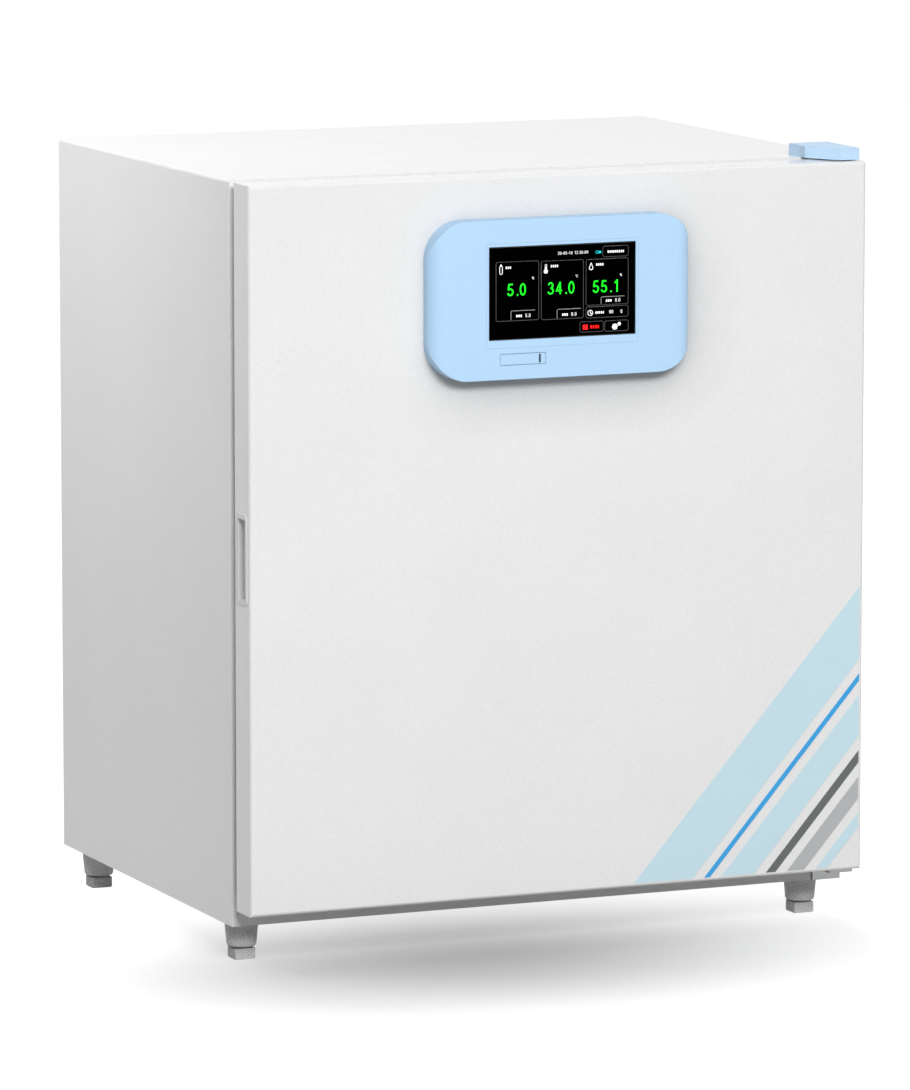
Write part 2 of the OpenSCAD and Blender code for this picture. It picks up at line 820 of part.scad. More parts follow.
// Slotted head that measures the gas
module co2_sensor() {
    tip_r = probe_body_r + 5;
    color([0.85, 0.85, 0.83]) difference() {
        probe(probe_x[2], co2_head_l, tip_r);
        for (y = [1:4], a = [0, 90]) translate([probe_x[2], liner_y1 - co2_head_l + 7 * y, probe_z])
            rotate([0, a, 0]) cube([2 * tip_r + 2, 3, tip_r], center = true);
        bar_y(probe_x[2], probe_z, liner_y1 - co2_head_l + 3, liner_y1 - 6, tip_r - 2.5);
    }
}

module temperature_probe() {
    color(steel) {
        probe(probe_x[0], probe_l, 2.5);
        translate([probe_x[0], liner_y1 - probe_l, probe_z]) sphere(r = 2.5, $fn = 32);
    }
}

module humidity_probe() {
    color(white) difference() {
        probe(probe_x[1], probe_l - 10, 6);
        for (y = [1:3]) translate([probe_x[1], liner_y1 - probe_l + 8 + 6 * y, probe_z])
            cube([14, 2.5, 5], center = true);
    }
}

// Inner glass door

// Silicone ring on the liner's flange
module glass_seal() {
    color([0.9, 0.9, 0.9]) along_y(glass_y1 + slip, face_y - flange_t) translate([0, mid_z])
        rounded_ring(ch_w + 2 * flange_w - 4, ch_h + 2 * flange_w - 4, ch_r + flange_w - 2, seal_w);
}

module glass_door() {
    color([0.75, 0.88, 0.9, 0.4]) difference() {
        along_y(glass_y0, glass_y1) translate([0, mid_z]) rounded(glass_w, glass_h, glass_r);
        bar_y(pull_x, mid_z, glass_y0 - 1, glass_y1 + 1, pull_bolt_r + slip);
    }
}

// Fixed halves of the glass hinges: a plate, two knuckles and the pin
module glass_hinge_brackets() {
    x0 = glass_axis_x - knuckle_r;
    x1 = glass_axis_x + glass_plate_l;
    color(steel) for (z = glass_hinge_z) {
        box([x0, face_y - plate_leaf, z - knuckle_h], [x1, face_y, z + knuckle_h]);
        for (s = [-1, 1]) {
            z0 = s > 0 ? z + leaf_h / 2 + near : z - knuckle_h;
            h = knuckle_h - leaf_h / 2 - near;
            translate([glass_axis_x, glass_axis_y, z0]) cylinder(r = knuckle_r, h = h);
            box([x0 + 1, glass_axis_y, z0], [x0 + 2 * knuckle_r - 1, face_y - plate_leaf, z0 + h]);
        }
        translate([glass_axis_x, glass_axis_y, z - knuckle_h])
            cylinder(r = glass_pin_r, h = 2 * knuckle_h);
    }
}

// Moving halves of the glass hinges, clamped on the front of the glass
module glass_hinge_leaves() {
    x1 = glass_w / 2 - 1;
    color(steel) for (z = glass_hinge_z) difference() {
        union() {
            box([x1 - leaf_l, glass_y0 - plate_leaf, z - leaf_pad_h / 2],
                [x1, glass_y0, z + leaf_pad_h / 2]);
            box([x1 - 2, glass_y0 - plate_leaf, z - leaf_h / 2],
                [glass_axis_x, glass_y0, z + leaf_h / 2]);
            translate([glass_axis_x, glass_axis_y, z - leaf_h / 2])
                cylinder(r = knuckle_r, h = leaf_h);
        }
        translate([glass_axis_x, glass_axis_y, z - leaf_h])
            cylinder(r = glass_pin_r + slip, h = 2 * leaf_h);
    }
}

// Knob bolted through the glass, with the steel strip that the catch holds
module glass_pull() {
    color(steel) {
        bar_y(pull_x, mid_z, glass_y0 - plate_leaf, glass_y1 + 3, pull_bolt_r);
        bar_y(pull_x, mid_z, glass_y1, glass_y1 + 3, 8);
        box([-glass_w / 2 - strip_out, glass_y0 - plate_leaf, mid_z - 12],
            [pull_x + 14, glass_y0, mid_z + 12]);
    }
    color(black) translate([pull_x, glass_y0 - plate_leaf, mid_z]) rotate([90, 0, 0])
        rotate_extrude() polygon([[0, 0], [9, 0], [6.5, pull_out - 7.5], [7.5, pull_out - 4.5],
            [11, pull_out - 2.5], [11, pull_out - 1], [9.5, pull_out], [0, pull_out]]);
}

// Magnet block on the cabinet's front that holds the glass shut
module glass_catch() {
    x0 = -glass_w / 2 - strip_out;
    color(white) box([x0 - 3, glass_y0 + near, mid_z - 16], [-glass_w / 2 - 2, face_y, mid_z + 16]);
}

// Outer door

// Folded pan of the outer door
module door_skin() {
    color(white) difference() {
        pan(skin_w, door_z0, door_z1, door_y0, door_y1, fold_r);
        pan(skin_w - 2 * sheet, door_z0 + sheet, door_z1 - sheet, door_y0 + sheet, door_y1 + fold_r,
            fold_r - sheet);
        along_x(-skin_w / 2 - 1, -skin_w / 2 + 2 * sheet) translate([grip_y, grip_z])
            rounded(grip_w - 2 * grip_rim + 2 * slip, grip_l - 2 * grip_rim + 2 * slip, grip_r);
        for (z = [door_z0 - 1, door_z1 - 2 * sheet]) translate([axis_x, axis_y, z])
            cylinder(r = bush_r + slip, h = 2 * sheet + 1);
        bar_y(bezel_x, bezel_z - 30, door_y0 - 1, door_y0 + 2 * sheet, 12);
    }
}

// Inner panel of the outer door with a wide shallow recess
module door_liner() {
    t = door_liner_t;
    w = skin_w - 2 * sheet - 2 * slip;
    h = skin_h - 2 * sheet - 2 * slip;
    color([0.9, 0.9, 0.9]) translate([0, 0, door_mid_z]) difference() {
        union() {
            along_y(door_y1 - t, door_y1) square([w, h], center = true);
            along_y(recess_y - t, door_y1) rounded(recess_w + 2 * t, recess_h + 2 * t, recess_r + t);
        }
        along_y(recess_y, door_y1 + 1) rounded(recess_w, recess_h, recess_r);
    }
}

// Foam inside the outer door
module door_foam() {
    g = sheet + foam_slack;
    t = door_liner_t + slip;
    color([0.93, 0.88, 0.72]) difference() {
        box([-skin_w / 2 + g, door_y0 + g, door_z0 + g], [skin_w / 2 - g, door_y1 - t, door_z1 - g]);
        translate([0, 0, door_mid_z]) along_y(recess_y - t, door_y1)
            rounded(recess_w + 2 * t, recess_h + 2 * t, recess_r + t);
        along_x(-skin_w / 2 - 1, -skin_w / 2 + grip_d + 2) translate([grip_y, grip_z])
            rounded(grip_w - 2 * grip_rim + 1, grip_l - 2 * grip_rim + 1, grip_r + 0.5);
        for (z = [door_z0, door_z1 - bush_l - 1]) translate([axis_x, axis_y, z])
            cylinder(r = bush_r + near, h = bush_l + 1);
    }
}

// Magnetic gasket with a narrow waist, all round the door's inner face
module door_gasket() {
    w = skin_w - 2 * gasket_in;
    h = skin_h - 2 * gasket_in;
    y1 = face_y - near;
    color([0.3, 0.3, 0.31]) translate([0, 0, door_mid_z]) {
        along_y(door_y1, door_y1 + gasket_foot) rounded_ring(w, h, 4, gasket_w);
        along_y(door_y1 + gasket_foot, y1 - gasket_head)
            rounded_ring(w - 4, h - 4, 3, gasket_w - 4);
        along_y(y1 - gasket_head, y1) rounded_ring(w, h, 4, gasket_w);
    }
}

// Moulded finger recess, with a thin rim on the door's edge
module handle_cup() {
    x0 = -skin_w / 2;
    w = grip_w - 2 * grip_rim;
    l = grip_l - 2 * grip_rim;
    color([0.86, 0.86, 0.87]) difference() {
        union() {
            along_x(x0 - grip_proud, x0) translate([grip_y, grip_z])
                rounded(grip_w, grip_l, grip_r + grip_rim);
            along_x(x0 - grip_proud, x0 + grip_d) translate([grip_y, grip_z]) rounded(w, l, grip_r);
        }
        along_x(x0 - 2, x0 + grip_d - grip_wall) translate([grip_y, grip_z])
            rounded(w - 2 * grip_wall, l - 2 * grip_wall, grip_r - grip_wall);
    }
}

// Nylon bushes in the door, each with a thrust washer in the gap
module door_bushes() {
    color([0.95, 0.94, 0.9]) {
        difference() {
            union() {
                translate([axis_x, axis_y, door_z1 - bush_l]) cylinder(r = bush_r, h = bush_l);
                translate([axis_x, axis_y, door_z1]) cylinder(r = bush_r + 2, h = door_drop - 2 * slip);
            }
            translate([axis_x, axis_y, door_z1 - pin_l - 1])
                cylinder(r = pin_dia / 2 + slip, h = pin_l + 3);
        }
        difference() {
            union() {
                translate([axis_x, axis_y, door_z0]) cylinder(r = bush_r, h = bush_l);
                translate([axis_x, axis_y, door_z0 - washer_t]) cylinder(r = bush_r + 2, h = washer_t);
            }
            translate([axis_x, axis_y, door_z0 - 2])
                cylinder(r = pin_dia / 2 + slip, h = pin_l + 3);
        }
    }
}

// Display on the outer door

// Block with a round-cornered outline whose front rolls back at both ends
module bezel_block(inset) {
    w = bezel_w - 2 * inset;
    r = bezel_roll - inset;
    intersection() {
        along_y(bezel_y, door_y0) translate([bezel_x, bezel_z])
            rounded(w, bezel_h - 2 * inset, bezel_r - inset);
        translate([bezel_x, 0, bezel_z - bezel_h]) linear_extrude(2 * bezel_h) {
            translate([-w / 2 + r, bezel_y + inset]) square([w - 2 * r, bezel_t]);
            translate([-w / 2, bezel_y + inset + r]) square([w, bezel_t]);
            for (x = [-1, 1]) translate([x * (w / 2 - r), bezel_y + inset + r]) circle(r);
        }
    }
}

// Pale blue housing with openings for the screen and the socket
module display_bezel() {
    color(pale_blue) difference() {
        bezel_block(0);
        difference() {
            bezel_block(bezel_wall);
            translate([flap_x, 0, flap_z]) box([-flap_w / 2 - 4, bezel_y, -flap_h / 2 - 3],
                [flap_w / 2 + 4, bezel_y + bezel_wall + 2, flap_h / 2 + 3]);
        }
        along_y(bezel_y - 1, bezel_y + 2 * bezel_wall) translate([screen_x, screen_z])
            square([screen_w, screen_h], center = true);
        along_y(bezel_y - 1, bezel_y + bezel_wall + 3) translate([flap_x, flap_z])
            square([flap_w + 2 * near, flap_h + 2 * near], center = true);
        translate([flap_axis_x, flap_axis_y, flap_z - flap_h / 2 - flap_pin_l - near])
            cylinder(r = flap_pin_r + slip, h = flap_h + 2 * flap_pin_l + 2 * near);
    }
}

// Screen with its wider frame behind the housing's front wall
module touch_screen() {
    color(black) translate([screen_x, 0, screen_z]) {
        along_y(bezel_y + screen_drop, bezel_y + bezel_wall + slip)
            square([screen_w - 2 * near, screen_h - 2 * near], center = true);
        along_y(bezel_y + bezel_wall + slip, bezel_y + bezel_wall + screen_t)
            square([screen_w + 8, screen_h + 4], center = true);
    }
}

// Board behind the screen, on posts from the door
module display_board() {
    x1 = screen_w / 2 + board_lap;
    z0 = flap_z - flap_h / 2 - slip;
    z1 = screen_z + screen_h / 2;
    color([0.1, 0.4, 0.25]) {
        box([screen_x - x1, board_y, z0], [screen_x + x1, board_y + board_t, z1]);
        for (x = [-1, 1], z = [z0 + 5, z1 - 5])
            bar_y(screen_x + x * (x1 - 5), z, board_y + board_t, door_y0, 3);
    }
}

// Socket for a memory stick, behind the flap
module usb_socket() {
    y0 = bezel_y + bezel_wall + 2;
    color(steel) translate([flap_x - 4, 0, flap_z]) {
        difference() {
            box([-usb_w / 2, y0, -usb_h / 2], [usb_w / 2, board_y, usb_h / 2]);
            box([0.4 - usb_w / 2, y0 - 1, 0.4 - usb_h / 2],
                [usb_w / 2 - 0.4, board_y - 1, usb_h / 2 - 0.4]);
        }
        box([-usb_w / 2 + 1, y0 + 1, 0.2], [usb_w / 2 - 1, board_y - 1, 1.8]);
    }
}

// Flap over the socket, turning on pins at its left end, with a slit for a fingernail
module usb_flap() {
    x1 = flap_x + flap_w / 2;
    h = flap_h - 2 * slip;
    color(pale_blue) translate([0, 0, flap_z - h / 2]) {
        difference() {
            union() {
                translate([flap_axis_x, bezel_y, 0]) cube([x1 - flap_axis_x, flap_t, h]);
                translate([flap_axis_x, flap_axis_y, 0]) cylinder(r = flap_axis_y - bezel_y, h = h);
            }
            translate([flap_slit_x, bezel_y - 1, 1]) cube([flap_slit_w, flap_t + 2, h - 2]);
        }
        translate([flap_axis_x, flap_axis_y, -flap_pin_l])
            cylinder(r = flap_pin_r, h = h + 2 * flap_pin_l);
    }
}

// Hinges of the outer door

// Plate on the cabinet's top with the pin that the door turns on
module top_hinge_bracket() {
    z = door_z1 + door_drop;
    color(steel) {
        box([axis_x - plate_w / 2, axis_y, z], [axis_x + plate_w / 2, face_y + plate_back, z + plate_t]);
        translate([axis_x, axis_y, z]) cylinder(r = plate_w / 2, h = plate_t);
        translate([axis_x, axis_y, door_z1 - pin_l])
            cylinder(d = pin_dia, h = pin_l + door_drop + plate_t);
    }
}

// Corners of the cover over the top hinge, moved in by a wall
function cover_outline(inset) = [
    [cover_x0 + inset, cover_y1 - inset],
    [cover_x0 + inset, cover_y0 + cover_cut_y + inset * tan(cover_turn_y / 2)],
    [cover_x0 + cover_cut_x + inset * tan(cover_turn_x / 2), cover_y0 + inset],
    [cover_x1 - inset, cover_y0 + inset],
    [cover_x1 - inset, cover_y1 - inset]
];

// Pale blue cover with one corner cut off, over the top hinge
module hinge_cover() {
    color(pale_blue) difference() {
        translate([0, 0, top_z]) linear_extrude(cover_h) polygon(cover_outline(0));
        translate([0, 0, top_z - 1]) linear_extrude(cover_h - cover_wall + 1)
            polygon(cover_outline(cover_wall));
    }
}

// Plate under the door, on a leg screwed to the cabinet's front, with its pin
module bottom_hinge_bracket() {
    z1 = door_z0 - hinge_gap;
    x0 = axis_x - low_plate_l;
    x1 = cab_w / 2 - low_plate_in;
    color(steel) {
        box([x0, axis_y, z1 - plate_t], [x1, face_y, z1]);
        translate([(x0 + x1) / 2, axis_y, z1 - plate_t]) linear_extrude(plate_t)
            rounded(x1 - x0, plate_w, low_plate_r);
        box([x0, face_y - plate_t, cab_z + slip], [cab_w / 2 - near, face_y, z1]);
        translate([axis_x, axis_y, z1 - plate_t])
            cylinder(d = pin_dia, h = pin_l + plate_t + hinge_gap);
    }
}

// Cooling

module cold_plates() {
    color(steel) both_coolers() along_y(liner_y1 + liner_t, liner_y1 + liner_t + cold_t)
        square(cold_w, center = true);
}

module peltier_modules() {
    color(white) both_coolers() along_y(foam_y1 - peltier_t, foam_y1)
        square(peltier_w, center = true);
}

// Finned sinks that carry the modules' heat to the fans
module heat_sinks() {
    pitch = (sink_w - fin_t) / (fins - 1);
    color(steel) both_coolers() {
        along_y(foam_y1, foam_y1 + sink_base) square(sink_w, center = true);
        for (i = [0:fins - 1]) translate([-sink_w / 2 + i * pitch, foam_y1, -sink_w / 2])
            cube([fin_t, sink_y1 - foam_y1, sink_w]);
    }
}

// Square frames of the cooling fans, with struts to a hub
module cooling_fan_frames() {
    y0 = panel_y - cool_fan_t;
    color(black) both_coolers() {
        along_y(y0, panel_y) difference() {
            rounded(cool_fan, cool_fan, 6);
            circle(fan_bore);
            for (x = [-1, 1], z = [-1, 1]) translate([x, z] * (cool_fan / 2 - 7.5)) circle(2.2);
        }
        along_y(y0, y0 + strut_t) difference() {
            union() {
                circle(hub_r);
                for (a = [45:90:315]) rotate(a) translate([0, -2]) square([fan_bore + 1, 4]);
            }
            circle(rotor_shaft_r + slip);
        }
    }
}

// Rotor of a cooling fan: cup, seven tilted blades and a shaft
module cooling_rotor(x) {
    y0 = panel_y - cool_fan_t + strut_t + 2;
    y1 = panel_y - 3;
    color([0.14, 0.14, 0.15]) translate([x, 0, cool_z]) {
        bar_y(0, 0, y0, y1, hub_r);
        bar_y(0, 0, y0 - strut_t - 2, y0, rotor_shaft_r);
        intersection() {
            along_y(y0, y1) difference() {
                circle(fan_bore - rotor_gap);
                circle(hub_r - 1);
            }
            for (i = [0:6]) rotate([0, i * 360 / 7, 0]) translate([fan_bore / 2, (y0 + y1) / 2, 0])
                rotate([50, 0, 0]) cube([fan_bore, 1.6, 40], center = true);
        }
    }
}

module cooling_rotor_left() { cooling_rotor(-cool_x); }
module cooling_rotor_right() { cooling_rotor(cool_x); }

// Wire guards over the fans, outside the back panel
module fan_guards() {
    lug_r = cool_fan / 2 * sqrt(2) - 10.6;
    color(steel) both_coolers() along_y(back_y, back_y + guard_wire) {
        for (r = [guard_wire * 4 : guard_pitch : fan_bore]) difference() {
            circle(r + guard_wire / 2);
            circle(r - guard_wire / 2);
        }
        for (a = [45:90:315]) rotate(a) difference() {
            union() {
                translate([guard_wire * 4, -guard_wire / 2]) square([lug_r - guard_wire * 4, guard_wire]);
                translate([lug_r, 0]) circle(4.5);
            }
            translate([lug_r, 0]) circle(2.2);
        }
    }
}

// Electrics and gas at the back

module power_supply() {
    z0 = cab_z + sheet;
    y1 = panel_y - 5;
    x0 = psu_x - psu_w / 2;
    color(steel) difference() {
        box([x0, y1 - psu_d, z0], [x0 + psu_w, y1, z0 + psu_h]);
        for (i = [1:12], z = [0.3, 0.7]) translate([x0 + i * psu_w / 13, y1, z0 + z * psu_h])
            cube([5, 3, psu_h * 0.3], center = true);
    }
}

// Circuit board on posts from the back panel, with its larger parts
module control_board() {
    y1 = panel_y - board_post;
    y0 = y1 - board_t;
    color([0.1, 0.4, 0.25]) translate([board_x, 0, board_z]) {
        box([0, y0, 0], [board_w, y1, board_h]);
        for (x = [post_in, board_w - post_in], z = [post_in, board_h - post_in])
            bar_y(x, z, y1, panel_y, post_r);
        for (i = [0:2]) translate([chip_w + i * 1.5 * chip_w, 0, 0.6 * chip_h])
            box([0, y1 - chip_out, 0], [chip_w, y0, chip_h]);
        for (i = [1, 2.5]) bar_y(board_w - 2 * i * can_r - post_in, 1.2 * chip_h, y1 - can_out, y0, can_r);
        translate([chip_w, 0, board_h - chip_h])
            box([0, y1 - chip_out / 2, 0], [board_w - 3 * chip_w, y0, chip_h / 2]);
    }
}

// Inlet for a mains lead: flange, shell and three flat pins
module power_inlet() {
    color(black) translate([inlet_x, 0, inlet_z]) {
        along_y(back_y, back_y + 3) difference() {
            rounded(inlet_w + 20, inlet_h + 8, 5);
            square([inlet_w - 3, inlet_h - 3], center = true);
            for (x = [-1, 1]) translate([x * (inlet_w / 2 + 6), 0]) circle(1.7);
        }
        along_y(back_y - inlet_l, back_y) difference() {
            square([inlet_w, inlet_h], center = true);
            square([inlet_w - 3, inlet_h - 3], center = true);
        }
        along_y(back_y - inlet_l, back_y - inlet_l + 4) square([inlet_w, inlet_h], center = true);
    }
    color(steel) translate([inlet_x, 0, inlet_z])
        for (p = [[-7, -2], [0, 2], [7, -2]]) along_y(back_y - inlet_l + 4, back_y - 3)
            translate(p) square([2, 4], center = true);
}

// Bezel that the rocker turns in
module switch_housing() {
    color(black) translate([switch_x, 0, inlet_z]) difference() {
        union() {
            along_y(back_y, back_y + 2) rounded(switch_w + 4, switch_h + 4, 2);
            along_y(back_y - 18, back_y) square([switch_w, switch_h], center = true);
        }
        along_y(back_y - 12, back_y + 3) square([rocker_w + 2 * near, rocker_h + 2.4], center = true);
        translate([0, rocker_y, 0]) rotate([0, 90, 0])
            cylinder(r = rocker_pin_r + slip, h = rocker_w + 3, center = true);
    }
}

// Rocker that rests tipped to one side
module switch_rocker() {
    h = rocker_h / 2;
    color(black) translate([switch_x, rocker_y, inlet_z]) rotate([-switch_tilt, 0, 0]) {
        along_x(-rocker_w / 2, rocker_w / 2)
            polygon([[-5, -h + 5], [1, -h], [4.5, -h + 0.2], [2, 0], [4.5, h - 0.2], [1, h], [-5, h - 5]]);
        rotate([0, 90, 0]) cylinder(r = rocker_pin_r, h = rocker_w + 2, center = true);
    }
}

// Bulkhead fitting with a plain spigot for the gas hose
module gas_inlet() {
    color([0.8, 0.68, 0.35]) {
        along_y(back_y, back_y + 6) translate([gas_x, gas_z]) circle(gas_thread_r + 4, $fn = 6);
        bar_y(gas_x, gas_z, panel_y - gas_thread_l, back_y, gas_thread_r);
        bar_y(gas_x, gas_z, back_y + 6, back_y + back_out - 1, spigot_dia / 2);
        translate([gas_x, back_y + back_out - 1, gas_z]) rotate([-90, 0, 0])
            cylinder(r1 = spigot_dia / 2, r2 = spigot_dia / 2 - 1, h = 1);
    }
}

// Solenoid valve behind the inlet, and its pipe into the chamber
module gas_valve() {
    y1 = panel_y - gas_thread_l;
    color(steel) {
        box([gas_x - valve_w / 2, y1 - valve_d, gas_z - valve_h / 2],
            [gas_x + valve_w / 2, y1, gas_z + valve_h / 2]);
        translate([gas_x, y1 - valve_d / 2, gas_z + valve_h / 2]) cylinder(r = coil_r, h = coil_h);
        bar_y(gas_x, gas_z, liner_y1 - 2 * gas_thread_r, y1 - valve_d, gas_pipe_r);
    }
}

// Tube of the access port, from the chamber to the back
module port_tube() {
    r = port_dia / 2;
    color(white) along_y(liner_y1 - 2, back_y + 3) translate([port_x, port_z]) difference() {
        circle(r + port_wall);
        circle(r);
    }
    color(white) for (y = [liner_y1 - 2, back_y]) along_y(y, y + (y < back_y ? 2 : 3))
        translate([port_x, port_z]) difference() {
            circle(r + port_wall + 5);
            circle(r);
        }
}

// Silicone stopper with a round grip
module port_stopper() {
    y1 = back_y + 3 + slip;
    color([0.92, 0.92, 0.9]) translate([port_x, y1, port_z]) rotate([-90, 0, 0]) rotate_extrude()
        polygon([[0, -45], [port_dia / 2 - 2, -45], [port_dia / 2 - slip, -42], [port_dia / 2 - slip, 0],
            [port_dia / 2 + 5, 0], [port_dia / 2 + 5, 3], [7, 4],
            [7, 8], [10, 10], [10, 13], [8, 14.5], [0, 14.5]]);
}

outer_shell();
base_pan();
back_panel();
front_frame();
insulation();
chamber_liner();
upright_left();
upright_right();
ledges_left();
ledges_right();
duct_cover();
hepa_filter();
fan_motor();
fan_wheel();
co2_sensor();
temperature_probe();
humidity_probe();
shelf_upper();
shelf_middle();
shelf_lower();
water_pan();
glass_seal();
glass_door();
glass_hinge_brackets();
glass_hinge_leaves();
glass_pull();
glass_catch();
door_skin();
door_liner();
door_foam();
door_gasket();
handle_cup();
door_bushes();
display_bezel();
touch_screen();
display_board();
usb_socket();
usb_flap();
top_hinge_bracket();
hinge_cover();
bottom_hinge_bracket();
leg_housings();
foot_front_left();
foot_front_right();
foot_back_left();
foot_back_right();
cold_plates();
peltier_modules();
heat_sinks();
cooling_fan_frames();
cooling_rotor_left();
cooling_rotor_right();
fan_guards();
power_supply();
control_board();
power_inlet();
switch_housing();
switch_rocker();
gas_inlet();
gas_valve();
port_tube();
port_stopper();
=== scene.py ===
"""Looks of a bench-top carbon dioxide incubator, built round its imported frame."""

import json
import math

import bmesh
import bpy
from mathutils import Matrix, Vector


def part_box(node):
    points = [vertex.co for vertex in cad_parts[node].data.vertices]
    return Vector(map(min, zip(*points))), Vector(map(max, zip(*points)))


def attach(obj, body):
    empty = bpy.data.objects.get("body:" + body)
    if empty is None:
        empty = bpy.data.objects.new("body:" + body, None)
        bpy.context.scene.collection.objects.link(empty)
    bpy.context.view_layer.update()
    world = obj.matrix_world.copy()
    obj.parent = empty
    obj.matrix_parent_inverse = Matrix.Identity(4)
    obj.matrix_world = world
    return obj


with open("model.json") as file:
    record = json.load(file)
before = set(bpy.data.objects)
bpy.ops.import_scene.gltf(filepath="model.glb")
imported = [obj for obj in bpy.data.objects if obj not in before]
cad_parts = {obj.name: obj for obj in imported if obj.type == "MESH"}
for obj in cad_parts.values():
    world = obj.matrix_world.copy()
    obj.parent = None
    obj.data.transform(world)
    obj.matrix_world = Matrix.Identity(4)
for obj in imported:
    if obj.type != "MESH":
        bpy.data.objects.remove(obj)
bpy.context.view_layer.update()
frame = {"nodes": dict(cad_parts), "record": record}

MM = 0.001

# Camera of the photograph
CAM_PLACE = (-2.8079, -6.6137, 1.4028)
CAM_AZIMUTH = math.radians(-23.0)
CAM_ELEVATION = math.radians(8.357)
CAM_LENS = 251.1
CAM_SENSOR = 36.0
CAM_FAR = 100.0

# Area lamps: name, place, spot they face, width and height, watts
LAMPS = (
    ("front_light", (-0.8, -4.95, 2.8), (0, 0, 0.4), (2.6, 1.2), 250.0),
    ("back_light", (0.5, 3.1, 4.6), (0, 0, 0.2), (2.4, 2.4), 92.0),
    ("side_light", (-0.87, 0.22, 1.0), (-0.31, 0.05, 0.55), (0.5, 0.5), 3.1),
    ("top_light", (0.1, 0.1, 2.6), (0, 0, 0.6), (1.6, 1.6), 4.5),
)

# Strength of the white world, as it is seen and as it lights the scene
WORLD_SEEN = 1.0
WORLD_LIT = 0.18

# Floor, and the soft shadow painted on it: an ellipse's middle, its half axes, how far out of it
# the shadow fades, and the floor's glow in the middle and outside
FLOOR_REACH = 30.0
FLOOR_GREY = (0.35, 0.35, 0.35)
SHADOW_MIDDLE = (-0.085, -0.270, 0.0)
SHADOW_AXES = (0.48, 0.30, 1.0)
SHADOW_FADE = 1.25
SHADOW_GLOW = 0.22
OPEN_GLOW = 0.95

# Colours, written as linear values
PAINT_WHITE = (0.85, 0.85, 0.85)
BLUE = (0.479, 0.708, 0.956)
COVER_BLUE = (0.515, 0.716, 0.93)
STRIPE_BLUE = (0.565, 0.752, 0.83)
LINE_BLUE = (0.034, 0.356, 0.745)
BAR_GREY = (0.112, 0.125, 0.125)
PALE_GREY = (0.45, 0.46, 0.47)
LEG_GREY = (0.78, 0.78, 0.785)
STEEL = (0.62, 0.63, 0.64)
FULL = (1, 1, 1)

# Painted shade that dims the door's front round the display housing, darker to the lower right
# like a cast shadow: the way in which the paint looks for pieces, how far, how dark it gets, and
# the open shares of that view where it is darkest and lit
PAINTED_SHADE_LEAN = (-0.36, -0.82, 0.44)
PAINTED_SHADE_REACH = 0.06
PAINTED_SHADE_TONE = (0.48, 0.48, 0.482)
PAINTED_SHADE_SHARES = (0.35, 0.89)
# Faces whose normal leans forward by the first get the painted shade in full, by the second not
# at all
FRONT_FACING = (-0.95, -0.7)

# What the frame says of the main faces
DOOR_LOW, DOOR_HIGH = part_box("door_skin")
BEZEL_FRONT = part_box("display_bezel")[0].y
SCREEN_LOW, SCREEN_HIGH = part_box("touch_screen")
BACK_LOW, BACK_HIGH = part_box("back_panel")
SCREEN_MIDDLE = 0.5 * (SCREEN_LOW + SCREEN_HIGH)


# Node materials

# Sockets of a colour mix, which are told apart by number only
MIX_FACTOR, MIX_FIRST, MIX_SECOND, MIX_RESULT = 0, 6, 7, 2


